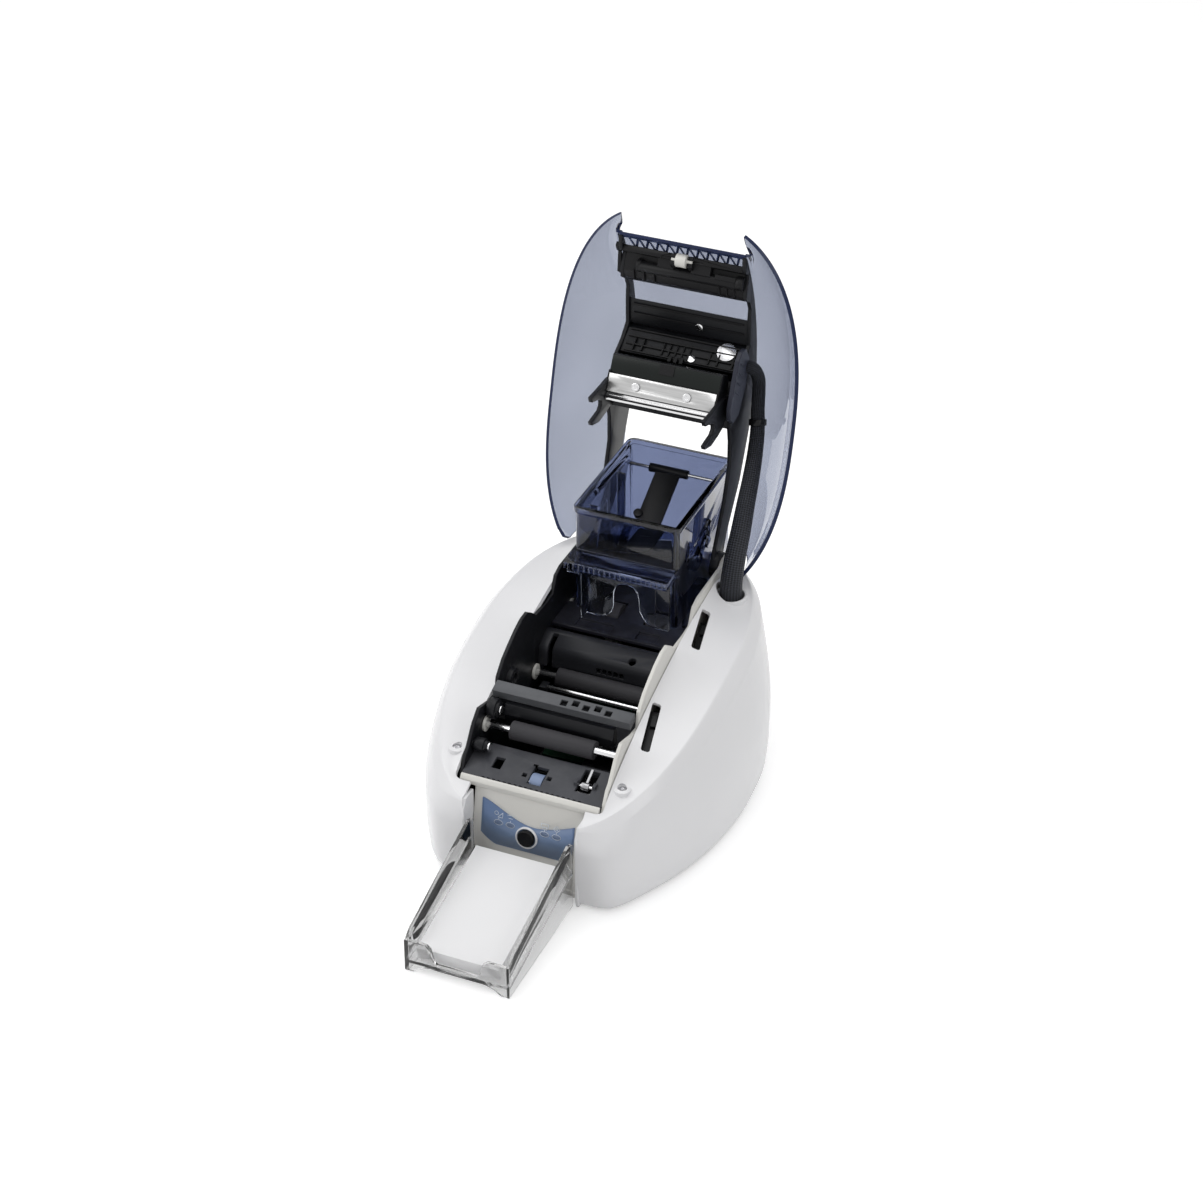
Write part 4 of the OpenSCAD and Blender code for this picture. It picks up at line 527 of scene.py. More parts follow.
def two_part_roller(node, tyre, half):
    """A softened roller that is tyre up to half in mm from the middle and bare steel shaft beyond."""
    thing = softened(node, tyre, 0.2)
    thing.data.materials.append(shaft_steel)
    for face in thing.data.polygons:
        spot = sum((thing.data.vertices[i].co for i in face.vertices), Vector()) / len(face.vertices)
        if abs(spot.x) / mm > half + 0.01:
            face.material_index = 1


two_part_roller("drive_roller", blue_tyre, 4.0)
two_part_roller("transport_roller", black_tyre, 28.0)
softened("roller_bushings", bushing_plastic, 0.2)
softened("sensor_lever", lever_steel, 0.1)
softened("lever_pin", shaft_steel, 0.1)

# Crossmember, head bay, steel rod, ridge and platen.
# Black ribbed mouldings that cross the channel between the walls. The platen is a rubber roller on a
# steel shaft, and the rod is bright drawn steel, pressed into both walls.
# The crossmember's lighter grey is a painted sheen of the lamps on satin black plastic; its up-facing faces
# are lightened further, partly as dust and partly as painted sheen.
member_sheen_grey = (0.092, 0.096, 0.104)
ridge_black = (0.026, 0.027, 0.032)
rod_bright = (0.80, 0.80, 0.81)
rod_steel = metal("rod steel", rod_bright, 0.14, (40.0, 900.0, 900.0))
member_sheen_plastic = plastic("crossmember plastic painted sheen", member_sheen_grey, 0.38, tone=0.15, dust_sheen=0.1)
ridge_plastic = plastic("ridge plastic", ridge_black, 0.4, tone=0.2)
softened("crossmember", member_sheen_plastic, 0.3)
works_part("head_bay", 0.3)
softened("guide_ridge", ridge_plastic, 0.3)
softened("steel_rod", rod_steel, 0.2)
two_part_roller("print_platen", black_tyre, 30.0)

# Deck, feed roller and spool hubs.
# The deck is a black plate with shallow recesses; the tall feed roller brings in the lowest card.
# The hubs turn on pins in the left wall and hold the ribbon's cores.
deck_black = (0.019, 0.0195, 0.027)
deck_dust_sheen = (0.13, 0.13, 0.15)
# The deck's up-facing faces are lightened, partly as dust and partly as a painted sheen from above.
deck_plastic = plastic("deck plastic", deck_black, 0.33, tone=0.25, dust_sheen=0.14, dust_sheen_color=deck_dust_sheen)
softened("hopper_deck", deck_plastic, 0.3)
two_part_roller("feed_roller", black_tyre, 24.0)
softened("spool_pins", shaft_steel, 0.15)
for hub in ("front_spool_hub", "rear_spool_hub"):
    works_part(hub, 0.25)

# Card hopper, its gauge and the card flap.
# The hopper is a deep blue clear moulding, darker where the light passes more wall. The gauge in front
# is thin clear sheet and the flap behind it is dark.
hopper_blue = (0.155, 0.185, 0.30)
hopper_edge = (0.07, 0.09, 0.19)
gauge_clear = (0.78, 0.82, 0.90)
gauge_edge = (0.45, 0.52, 0.68)
clear_ior = 1.49


def clear_plastic(name, face_color, edge_color, gloss=0.04, edge_mix=0.35):
    """Tinted clear plastic: a cleaner colour face on, a deeper one where the wall turns away."""
    material, tree, shader = new_material(name)
    skin = moulded_skin(tree, (*face_color, 1.0), 0.05, gloss + 0.06, 260.0)
    turned_away = node_in(tree, "LayerWeight", {"Blend": edge_mix}).outputs["Facing"]
    finish = between(tree, turned_away, skin.outputs["Color"], (*edge_color, 1.0))
    tree.links.new(finish, shader.inputs["Base Color"])
    smooth = ranged(tree, skin.outputs["Roughness"], high=0.5, to_high=gloss * 4)
    tree.links.new(smooth, shader.inputs["Roughness"])
    shader.inputs["IOR"].default_value = clear_ior
    shader.inputs["Transmission Weight"].default_value = 1.0
    bumped(tree, shader, skin.outputs["Height"], fine_grain / 10)
    return material


hopper_clear = clear_plastic("blue clear plastic", hopper_blue, hopper_edge)
gauge_plastic = clear_plastic("gauge clear plastic", gauge_clear, gauge_edge)
softened("input_hopper", hopper_clear, 0.35)
softened("gauge_plate", gauge_plastic, 0.2)
works_part("card_press_flap", 0.25)
softened("flap_pin", shaft_steel, 0.1)

# Rear panel.
# A cream moulding closes the back below the hopper. The mains inlet and the rocker switch are black
# mouldings that snap into it, and the data socket is a folded steel box.
socket_grey = (0.62, 0.62, 0.63)
switch_black = (0.010, 0.010, 0.011)
socket_steel = metal("socket steel", socket_grey, 0.3, (300.0, 300.0, 300.0))
gloss_black = plastic("gloss black plastic", switch_black, 0.16, tone=0.3)
softened("rear_panel", cream_plastic, 0.4)
works_part("power_inlet", 0.2)
softened("usb_socket", socket_steel, 0.08)
softened("power_switch", gloss_black, 0.3)

# Side covers.
# Two white glossy shells bulge out to the table. Each rises from its foot over a rounded crest to a
# flange that runs up to the chassis wall. Latch slots, a screw and the cable's collar pierce the flange.
cover_white = (0.80, 0.80, 0.815)
cover_wall = 2.4
belt_z = 44.0
foot_z = 1.5
cover_start = 21.5
cover_end = 158.5
belt_half = 100.86
belt_mid = 43
belt_front = 170.9
belt_rear = 124
belt_power = 2.05
nose_flat = -98
nose_round = 4
cover_rows = 96
crest_round = 2.2
crest_drop = 8
crest_reach = 14
wall_steps = 16
wall_bulge = 0.58
flange_steps = 12
flange_power = 1.6
seam_x = 49.5
bay_half = 37.0
rim_half = 84.5
rim_y = 32.0
rim_front = 134
rim_rear = 120
rim_power = 2.6
rim_low = 62
rim_rise = 64
rim_from = -95
rim_run = 115
seam_lift = 4
seam_swell = 7
seam_swell_from = -64
seam_swell_run = 125
seam_nose = 3.5
seam_nose_run = 8
seam_fall = 13
seam_fall_from = 102
seam_fall_run = 36
seam_front = -84
seam_rear = 138
seam_round = 2
swing_run = 60
swing_slant = 0.35
narrowing = 0.75
foot_steps = [(7, 0), (5, 1.2), (3.4, 3), (1.4, 8.5), (0.3, 20)]
white_plastic = plastic(
    "white plastic", cover_white, 0.27, tone=0.012, grain=2600.0, depth=0.000001, worn=False
)
latch_black = plastic("latch black", deep_black, 0.4, tone=0.2)


def rim_z(y):
    """Height of the covers' crest, which climbs from the front and levels out."""
    return rim_low + rim_rise * (1 - math.exp((rim_from - y) / rim_run))


def seam_z(y):
    """Height of the flange's inner edge: over the crest, but lower at the nose and behind the lid."""
    swell = seam_swell * min(1, (y - seam_swell_from) / seam_swell_run)
    nose = seam_nose * math.exp((seam_front - y) / seam_nose_run)
    return rim_z(y) + seam_lift + swell - nose - seam_fall * max(0, y - seam_fall_from) / seam_fall_run


def soft_floor(v, limit, r):
    """A value kept over a limit, with a rounded corner."""
    return limit + r * math.log(1 + math.exp((v - limit) / r))


def oval(a, half_w, mid, front_len, rear_len, power):
    """A place on a squarish oval in mm, from the front at 0 degrees to the rear at 180."""
    s, c = math.sin(math.radians(a)), math.cos(math.radians(a))
    bow = abs(c) ** (2 / power)
    y = mid - front_len * bow if a <= 90 else mid + rear_len * bow
    return Vector((half_w * abs(s) ** (2 / power), y))


def belt_pt(a):
    """The covers' widest line, cut flat at the front."""
    p = oval(a, belt_half, belt_mid, belt_front, belt_rear, belt_power)
    return Vector((p.x, soft_floor(p.y, nose_flat, nose_round)))


def rim_pt(a):
    """The covers' crest line."""
    return oval(a, rim_half, rim_y, rim_front, rim_rear, rim_power)


def seam_pt(c):
    """Place on the seam that a station's flange runs to, swung smoothly from forwards to backwards."""
    swing = max(-1, min(1, (rim_y - c.y) / swing_run))
    slant = (c.x - seam_x) * swing_slant * swing * (1.5 - 0.5 * swing ** 2)
    side = min(seam_x, bay_half + (c.x - bay_half) * narrowing)
    back = soft_floor(c.y + slant, seam_front, seam_round)
    return Vector((side, -soft_floor(-back, -seam_rear, seam_round)))


def bent(start, pull, end, t):
    """A place on a curve that leaves its start towards pull and comes to its end from there."""
    return start * (1 - t) ** 2 + pull * 2 * t * (1 - t) + end * t * t


def corner_rounded(row, index, reach):
    """Replaces one corner of a row of points with a short curve."""
    corner = row[index]
    back = row[index - 1] - corner
    ahead = row[index + 1] - corner
    start = corner + back.normalized() * min(reach, back.length * 0.45)
    end = corner + ahead.normalized() * min(reach, ahead.length * 0.45)
    return row[:index] + [bent(start, corner, end, i / 5) for i in range(6)] + row[index + 1:]


def cover_row(a):
    """One station of a cover, from its foot over the crest to the flange's inner edge."""
    p, c = belt_pt(a), rim_pt(a)
    q = seam_pt(c)
    gap = (p - c).length
    way = (c - p) / gap
    crest_z = rim_z(c.y) - crest_drop * min(1, gap / crest_reach)
    row = [Vector((*(p + way * inset), foot_z + h)) for inset, h in foot_steps]
    for i in range(wall_steps + 1):
        w = 1 - i / wall_steps
        s = c.lerp(p, 1 - wall_bulge * (1 - math.sin(w * math.pi / 2)))
        row.append(Vector((*s, crest_z + (belt_z - crest_z) * w)))
    crest = len(row)
    for i in range(flange_steps + 1):
        f = i / flange_steps
        row.append(Vector((*c.lerp(q, f), rim_z(c.y) + (seam_z(q.y) - rim_z(c.y)) * f ** flange_power)))
    return corner_rounded(corner_rounded(row, crest, crest_round), crest - 1, crest_round)


def sheet_of(rows):
    """A mesh of quads through equal rows of points in mm."""
    bm = bmesh.new()
    grid = [[bm.verts.new(p * mm) for p in row] for row in rows]
    for low, high in zip(grid, grid[1:]):
        for i in range(len(low) - 1):
            bm.faces.new((low[i], low[i + 1], high[i + 1], high[i]))
    return bm


def cut_outline(bm, points, axes, near):
    """Cuts the edges of an outline in mm into the faces that near picks, and takes out what lies inside."""
    for i, p in enumerate(points):
        q = points[(i + 1) % len(points)]
        start, normal = Vector((0, 0, 0)), Vector((0, 0, 0))
        start[axes[0]], start[axes[1]] = p[0] * mm, p[1] * mm
        normal[axes[0]], normal[axes[1]] = q[1] - p[1], p[0] - q[0]
        faces = [f for f in bm.faces if near(f.calc_center_median())]
        around = set(faces)
        for f in faces:
            around.update(f.edges)
            around.update(f.verts)
        normal.normalize()
        bmesh.ops.bisect_plane(bm, geom=list(around), dist=1e-7, plane_co=start, plane_no=normal)

    def inside(c):
        a, b, hit = c[axes[0]] / mm, c[axes[1]] / mm, False
        for i, p in enumerate(points):
            q = points[i - 1]
            if (p[1] > b) != (q[1] > b) and a < (q[0] - p[0]) * (b - p[1]) / (q[1] - p[1]) + p[0]:
                hit = not hit
        return hit

    gone = [f for f in bm.faces if near(f.calc_center_median()) and inside(f.calc_center_median())]
    bmesh.ops.delete(bm, geom=gone, context="FACES")


def thickened(thing, wall, rim_slot=0):
    """Gives a skin its wall, inwards from its faces."""
    shell = thing.modifiers.new("wall", "SOLIDIFY")
    shell.thickness = wall * mm
    shell.offset = -1.0
    shell.material_offset_rim = rim_slot
    soft = thing.modifiers.new("soft edges", "BEVEL")
    soft.width = 0.35 * mm
    soft.segments = 2
    soft.limit_method = "ANGLE"
    soft.angle_limit = math.radians(50)
    soft.harden_normals = True


def turn_points(points, degrees, about):
    s, c = math.sin(math.radians(degrees)), math.cos(math.radians(degrees))
    return [(about[0] + x * c - y * s, about[1] + x * s + y * c) for x, y in points]


def faces_up(bm, at):
    """Turns all faces of an open skin so that the one nearest a point in mm looks up."""
    near = min(bm.faces, key=lambda f: (f.calc_center_median() - Vector(at) * mm).length)
    if near.normal.z < 0:
        bmesh.ops.reverse_faces(bm, faces=bm.faces)


screw_at = (55.4, -66.4)
screw_d = 6.0
well_lift = 2
screw_seat = rim_z(screw_at[1]) + well_lift
well_shape = [(3.0, 0), (3.0, -2.2), (0, -2.2), (0, -4.6), (5.4, -4.6), (5.4, -0.6)]
latch_x = 56.5
latch_ys = (-23.5, 59.0)
latch_turn = 9
slot_end = [(-2.8, -15.5), (-1.8, -16.5), (1.8, -16.5), (2.8, -15.5)]
slot_shape = slot_end + [(-x, -y) for x, y in slot_end]
collar_at = (60, 102)
collar_shape = [(9.0, 0), (10.6, 0), (10.6, -8), (9.0, -8)]
collar_hole = 19
flange_low = 58
bay_front = -97.6
bay_deep = 15
bay_high = 60
bay_wall = 2.2
bay_shares = [(0.12, 0), (0, 0.1), (0, 0.88), (0.25, 1), (1, 1), (1, 0)]
cover_turns = [cover_start + (cover_end - cover_start) * i / (cover_rows - 1) for i in range(cover_rows)]
cover_points = [cover_row(a) for a in cover_turns]


def above_flange(c):
    return c.z > flange_low * mm


for side, name in ((-1, "left_cover"), (1, "right_cover")):
    bm = sheet_of(cover_points)
    bm.normal_update()
    faces_up(bm, (70, 0, 100))
    cut_outline(bm, circle_points(*screw_at, screw_d, 28), (0, 1), above_flange)
    if side > 0:
        for y in latch_ys:
            cut_outline(bm, turn_points(slot_shape, latch_turn, (latch_x, y)), (0, 1), above_flange)
        cut_outline(bm, circle_points(*collar_at, collar_hole, 36), (0, 1), above_flange)
    if side < 0:
        bmesh.ops.scale(bm, verts=bm.verts, vec=(-1, 1, 1))
        bmesh.ops.reverse_faces(bm, faces=bm.faces)
    thickened(new_piece(bm, name + "_shell", "body", white_plastic, [name]), cover_wall)
    bm = bmesh.new()
    bay_shape = [(bay_front + bay_deep * s, foot_z + bay_high * h) for s, h in bay_shares]
    flat_shape(bm, bay_shape, (1, 2), bay_half, bay_wall)
    bmesh.ops.scale(bm, verts=bm.verts, vec=(side, 1, 1))
    outward(bm)
    new_piece(bm, name + "_bay_wall", "body", white_plastic, bevel=0.5)
    well_at = (side * screw_at[0], screw_at[1], screw_seat)
    bm = turned(well_shape, (0, 0, 1), well_at, 32, closed=True)
    new_piece(bm, name + "_screw_well", "body", white_plastic, bevel=0.2)

# Cable collar, latches and cover screws.
# A white ring lines the hole that the cable climbs out of, and a black sprung latch with a nose shows in
# each slot of the right cover. A steel screw holds the front of either cover.
screw_grey = (0.55, 0.55, 0.57)
latch_sunk = 3.4
latch_size = (7.6, 35, 3)
nose_size = (3.6, 8, 4)
nose_at = (0, 9, 1.6)
collar_top = rim_z(collar_at[1]) + seam_lift
bm = turned(collar_shape, (0, 0, 1), (*collar_at, collar_top), 48, closed=True)
new_piece(bm, "cable_collar", "body", white_plastic, bevel=0.4)
for i, y in enumerate(latch_ys):
    bm = bmesh.new()
    bar = bmesh.ops.create_cube(bm, size=1.0)["verts"]
    bmesh.ops.scale(bm, verts=bar, vec=Vector(latch_size) * mm)
    nose = bmesh.ops.create_cube(bm, size=1.0)["verts"]
    bmesh.ops.scale(bm, verts=nose, vec=Vector(nose_size) * mm)
    bmesh.ops.translate(bm, verts=nose, vec=Vector(nose_at) * mm)
    rise = math.atan2(seam_z(y + 10) - seam_z(y - 10), 20)
    turn = Matrix.Rotation(math.radians(latch_turn), 4, "Z") @ Matrix.Rotation(rise, 4, "X")
    spot = Vector((latch_x, y, rim_z(y) - latch_sunk)) * mm
    moved(bm, Matrix.Translation(spot) @ turn)
    new_piece(bm, "latch_%d" % (i + 1), "body", latch_black, bevel=0.3)
screw_steel = metal("screw steel", screw_grey, 0.25, (400.0, 400.0, 400.0))
softened("cover_screws", screw_steel, 0.15)

# Cover shell and its ribs.
# One bent moulding in smoky blue clear plastic: two bulging wings join over a roof, which is cut away
# behind the print head. Its edges look navy where the light runs along inside the wall.
lid_wall = 2.4
lid_rows = 110
lid_start = 20.5
lid_sweep = 128.5
lid_gap = 1.7
wing_steps = 44
roof_steps = 14
roof_half = 44
roof_low = 74
roof_rise = 92
roof_from = -80
roof_run = 62
roof_rear = 130
roof_crown = 2.2
roof_corner = 2.0
nose_lag = 15
lag_run = 60
hinge = (121.0, 126.0)
lid_open = 116.0
wing_in = 0.28
wing_up = 0.72
lid_face = (0.345, 0.37, 0.44)
lid_edge = (0.19, 0.215, 0.32)
lid_navy = (0.016, 0.024, 0.07)
rib_shade_navy = (0.03, 0.045, 0.11)
roof_gap = [(-45, 14), (45, 14), (45, 262), (-45, 262)]
front_gap = [(-41.6, -130), (41.6, -130), (41.6, -78.8), (-41.6, -78.8)]
hinge_side = [(121, 111), (121, 118.8), (125.6, 120.5), (126.6, 126), (123, 134), (115, 150), (111, 158)]
rear_gap = hinge_side + [(111, 249), (166, 249), (166, 111)]
strip_y = -79.6
strip_wall = 2.0
strip_half = 42.3
strip_low = 71.0
lid_clear = clear_plastic("smoky clear plastic", lid_face, lid_edge, gloss=0.02, edge_mix=0.3)
lid_rim = plastic("navy edge", lid_navy, 0.15, tone=0.1)


def opened():
    """Swings a piece drawn in the cover's closed place to its open place."""
    pin = Vector((0, *hinge)) * mm
    swing = Matrix.Rotation(math.radians(-lid_open), 4, "X")
    return Matrix.Translation(pin) @ swing @ Matrix.Translation(-pin)


def roof_z(y):
    """Height of the closed roof, which climbs from the nose and levels out."""
    return roof_low + roof_rise * (1 - math.exp((roof_from - y) / roof_run))


def lid_row(a):
    """One station of the closed cover, from the right wing's edge over the roof to the left one's."""
    r = rim_pt(a)
    low = Vector((*r, rim_z(r.y) + lid_gap))
    top_y = min(roof_rear, r.y + nose_lag * math.exp((rim_from - r.y) / lag_run))
    top = Vector((roof_half, top_y, roof_z(top_y)))
    rise = top - low
    pull = Vector((low.x + rise.x * wing_in, (low.y + top.y) / 2, low.z + rise.z * wing_up))
    level = (pull - low).to_2d().length / (pull - low).length
    first = lid_wall * level / (2 * (pull.z - low.z))
    row = [bent(low, pull, top, first + (1 - first) * i / wing_steps) for i in range(wing_steps + 1)]
    for i in range(1, roof_steps + 1):
        share = i / roof_steps
        crown = roof_crown * math.sin(share * math.pi / 2)
        row.append(Vector((roof_half * (1 - share), top_y, top.z + crown)))
    row = corner_rounded(row, wing_steps, roof_corner)
    return row + [Vector((-v.x, v.y, v.z)) for v in reversed(row[:-1])]


def anywhere(c):
    return True


bm = sheet_of([lid_row(lid_start + lid_sweep * i / (lid_rows - 1)) for i in range(lid_rows)])
bmesh.ops.remove_doubles(bm, verts=bm.verts, dist=weld)
bm.normal_update()
faces_up(bm, (0, -40, roof_z(-40)))
cut_outline(bm, roof_gap, (0, 1), anywhere)
cut_outline(bm, front_gap, (0, 1), anywhere)
cut_outline(bm, rear_gap, (1, 2), anywhere)
loose = [v for v in bm.verts if not v.link_faces]
bmesh.ops.delete(bm, geom=loose, context="VERTS")
moved(bm, opened())
lid = new_piece(bm, "lid_skin", "cover", lid_clear, ["lid_shell"])
lid.data.materials.append(lid_rim)
thickened(lid, lid_wall, 1)
bm = bmesh.new()
strip_high = roof_z(-79) + 0.4
strip_ends = [(strip_y, strip_low), (strip_y + strip_wall, strip_low)]
strip_ends += [(y, strip_high) for y, z in reversed(strip_ends)]
flat_shape(bm, strip_ends, (1, 2), -strip_half, 2 * strip_half)
outward(bm)
moved(bm, opened())
new_piece(bm, "lid_front_edge", "cover", lid_rim, bevel=0.5)
# Painted shade: the clear ribs are drawn in opaque navy for the dark look that the light running through
# them gives.
softened("lid_ribs", plastic("rib navy painted shade", rib_shade_navy, 0.2, tone=0.1), 0.12)

# Parts held in the cover.
# A black frame with two cheeks carries the beams, the pinch bar with its white roller, the head and
# the hinge pins. Bright screws and a steel disc hold it to the shell.
disc_grey = (0.66, 0.66, 0.68)
disc_steel = metal("disc steel", disc_grey, 0.24, (300.0, 300.0, 300.0))
works_part("lid_frame", 0.4)
works_part("lid_beams", 0.3)
softened("pinch_bar", black_inside, 0.3)
softened("pinch_roller", bushing_plastic, 0.3)
softened("lid_screws", rod_steel, 0.15)
softened("lid_disc", disc_steel, 0.2)
softened("hinge_pins", shaft_steel, 0.3)

# Small works on the frame's underside.
# Ridges, fins and latch fingers are moulded on the sloping beam, and a housing with four slots is
# clipped on the right cheek. All are black plastic.
slope_top = (-19.0, 112.5)
slope_foot = (-3.6, 104.4)
slope_out = (-0.465, -0.885)
housing_navy = (0.030, 0.033, 0.048)
works_half = 38
ridge_shares = (0.06, 0.34, 0.66, 0.93)
ridge_half_share = 0.03
ridge_root = -0.5
ridge_top = 1.3
fin_xs = (-33, -27, -13, -8.5, -4, 0.5, 5, 19, 25, 35)
fin_wide = 1.1
fin_shape = [(0.36, -0.5), (0.4, 1.1), (0.9, 2.0), (0.93, -0.5)]
finger_xs = (-6.5, -2.5, 1.5)
finger_wide = 2.2
finger_shape = [(0.9, -0.4), (0.86, 2.4), (1.12, 3.0), (1.14, 0.2)]
step_ys = (-35.0, -29.0)
step_from = (-38, 105.5)
step_rise = 0.53
step_shape = [(0, 0.5), (0, -0.9), (1.2, -0.3), (1.2, 1.1)]
housing_low = [(-21, 96), (-19, 90), (-13, 86), (18, 86), (25, 90), (27, 97)]
housing_high = [(22, 105), (2, 109), (-15, 106)]
housing_x = 43.0
housing_deep = 3.0
slit_ys = (-12, -6, 0, 6)
slit_xs = (45.6, 46.2)
slit_shape = [(0, 90), (1.4, 90), (3.4, 98), (2, 98)]


def block(bm, x0, x1, corners):
    """A bar along x whose section is four (y, z) corners in mm, in the closed cover's place."""
    ends = [[bm.verts.new(Vector((x, y, z)) * mm) for y, z in corners] for x in (x0, x1)]
    bm.faces.new(ends[0])
    bm.faces.new(list(reversed(ends[1])))
    for i in range(len(corners)):
        n = (i + 1) % len(corners)
        bm.faces.new((ends[0][n], ends[0][i], ends[1][i], ends[1][n]))


def on_slope(share, out):
    """A (y, z) place along the beam's slope, raised from it by out in mm."""
    return tuple(slope_top[k] + (slope_foot[k] - slope_top[k]) * share + slope_out[k] * out for k in (0, 1))


def on_cover(bm, name, body, material, bevel):
    """Swings a small piece open with the cover and adds it to a body."""
    outward(bm)
    moved(bm, opened())
    new_piece(bm, name, body, material, bevel=bevel)


bm = bmesh.new()
for share in ridge_shares:
    low, high = share - ridge_half_share, share + ridge_half_share
    ridge = [(low, ridge_root), (low, ridge_top), (high, ridge_top), (high, ridge_root)]
    block(bm, -works_half, works_half, [on_slope(*p) for p in ridge])
for x in fin_xs:
    block(bm, x, x + fin_wide, [on_slope(*p) for p in fin_shape])
for x in finger_xs:
    block(bm, x, x + finger_wide, [on_slope(*p) for p in finger_shape])
for y in step_ys:
    z = step_from[1] + (y - step_from[0]) * step_rise
    block(bm, -works_half, works_half, [(y + p, z + q) for p, q in step_shape])
on_cover(bm, "frame_works", "cover", black_inside, 0.15)
bm = bmesh.new()
flat_shape(bm, housing_low + housing_high, (1, 2), housing_x, housing_deep)
for y in slit_ys:
    block(bm, *slit_xs, [(y + p, z) for p, z in slit_shape])
housing = plastic("housing plastic", housing_navy, 0.35, tone=0.2)
on_cover(bm, "cheek_housing", "cover", housing, 0.5)

# Pinch rod, its bosses and blocks.
# A round bar lies beside the white roller, with a boss at either end and raised blocks and fins behind
# it. It stops short on the left, where the ribbon's hub stands when the cover is closed.
rod_chamfer = 0.5
rods = [
    ("pinch_rod", -30, 38, 3.4, (-60.0, 83.6)),
    ("pinch_boss_left", -31.4, -28, 4.2, (-60.5, 84.4)),
    ("pinch_boss_right", 36, 41, 4.6, (-61, 84)),
]
pinch_blocks = [
    (6, 19, [(-69, 79), (-62, 79.4), (-58, 84), (-69, 86)]),
    (-17, -6, [(-68, 80), (-62, 80.4), (-60, 84), (-68, 86)]),
    (22, 36, [(-64, 79.8), (-61, 79.8), (-58, 84), (-64, 85)]),
]
pinch_fin_xs = (-34, -27, -20, 24, 29, 34)
pinch_fin_wide = 1.2
pinch_fin_shape = [(-57, 84.4), (-57, 82.6), (-51, 87.2), (-51, 90)]
for name, x0, x1, r, at in rods:
    flat = r - rod_chamfer
    ends = [(0, x0), (flat, x0), (r, x0 + rod_chamfer), (r, x1 - rod_chamfer), (flat, x1), (0, x1)]
    on_cover(turned(ends, (1, 0, 0), (0, *at), 32), name, "cover", black_inside, 0.0)
bm = bmesh.new()
for x0, x1, corners in pinch_blocks + [(x, x + pinch_fin_wide, pinch_fin_shape) for x in pinch_fin_xs]:
    block(bm, x0, x1, corners)
on_cover(bm, "pinch_blocks", "cover", black_inside, 0.3)

# Print head.
# A black sprung carrier under a brushed plate, with a dark label strip in front and the bright heater
# bar at its edge.
strip_green = (0.008, 0.011, 0.010)
plate_grey = (0.50, 0.50, 0.50)
brushed_plate = metal("brushed plate", plate_grey, 0.3, (30.0, 900.0, 900.0), tone=0.16)
trim_half = 36.4
clip_shape = [(8, 84.5), (8, 82.2), (20, 81.4), (20, 84.5)]
head_trims = [
    (-trim_half, trim_half, [(24.5, 81.6), (24.5, 81.25), (25.7, 81.25), (25.7, 81.6)]),
    (-trim_half, trim_half, [(21.5, 83.2), (21.5, 82.7), (22.3, 82.7), (22.3, 83.2)]),
    (-37.6, -36.2, clip_shape),
    (36.2, 37.6, clip_shape),
    (-4.5, 5.5, [(-1.6, 85.4), (-1.6, 84.0), (4.6, 82.9), (4.6, 84.2)]),
]
works_part("head_carrier", 0.3)
softened("head_label", plastic("head strip", strip_green, 0.3, tone=0.2), 0.08)
softened("head_plate", brushed_plate, 0.2)
softened("heater_bar", rod_steel, 0.15)
softened("head_screws", shaft_steel, 0.12)
bm = bmesh.new()
for x0, x1, corners in head_trims:
    block(bm, x0, x1, corners)
on_cover(bm, "head_trims", "print_head", black_inside, 0.08)

# Cable in its braided sleeve, held by a tie.
# The sleeve is woven from dark thread. It leaves the collar wide and slack, then tightens as it climbs
# over to the cover.
braid_dark = (0.004, 0.004, 0.005)
braid_light = (0.05, 0.054, 0.066)
braid_rounds = 11
braid_along = 84
braid_deep = 0.0006
thread_per_metre = 1600.0
cable_shares = [
    (0.8, 0.075, 0.05), (0.8, 0.075, 0.113), (0.8, 0.087, 0.175), (0.8, 0.15, 0.263),
    (0.795, 0.275, 0.35), (0.773, 0.425, 0.425), (0.747, 0.6, 0.5), (0.72, 0.75, 0.575),
    (0.693, 0.863, 0.65), (0.667, 0.925, 0.725), (0.661, 0.95, 0.8), (0.661, 0.938, 0.863),
    (0.648, 0.881, 0.916), (0.619, 0.831, 0.941), (0.577, 0.8, 0.953),
]
cable_rings = 170
cable_sides = 28
cable_wide = 75
cable_back = 96
cable_deep = 80
cable_low = 100
cable_high = 160
cable_thin = 8.6
cable_slack = 6.4
slack_share = 0.75
cable_path = [
    Vector((x * cable_wide, cable_back + y * cable_deep, cable_low + z * cable_high))
    for x, y, z in cable_shares
]


def cable_at(u):
    """A place along the smooth curve through the path's points."""
    spans = len(cable_path) - 1
    i = min(spans - 1, int(u * spans))
    t = u * spans - i
    a, b = cable_path[max(0, i - 1)], cable_path[i]
    c, d = cable_path[i + 1], cable_path[min(spans, i + 2)]
    bow = (a * 2 - b * 5 + c * 4 - d) * t ** 2
    return (b * 2 + (c - a) * t + bow + (b * 3 - a - c * 3 + d) * t ** 3) / 2


def cable_radius(u):
    """Wide and slack at the collar, tight from slack_share of the way on."""
    return (cable_thin + cable_slack * 0.5 * (1 + math.cos(math.pi * min(1, u / slack_share)))) / 2


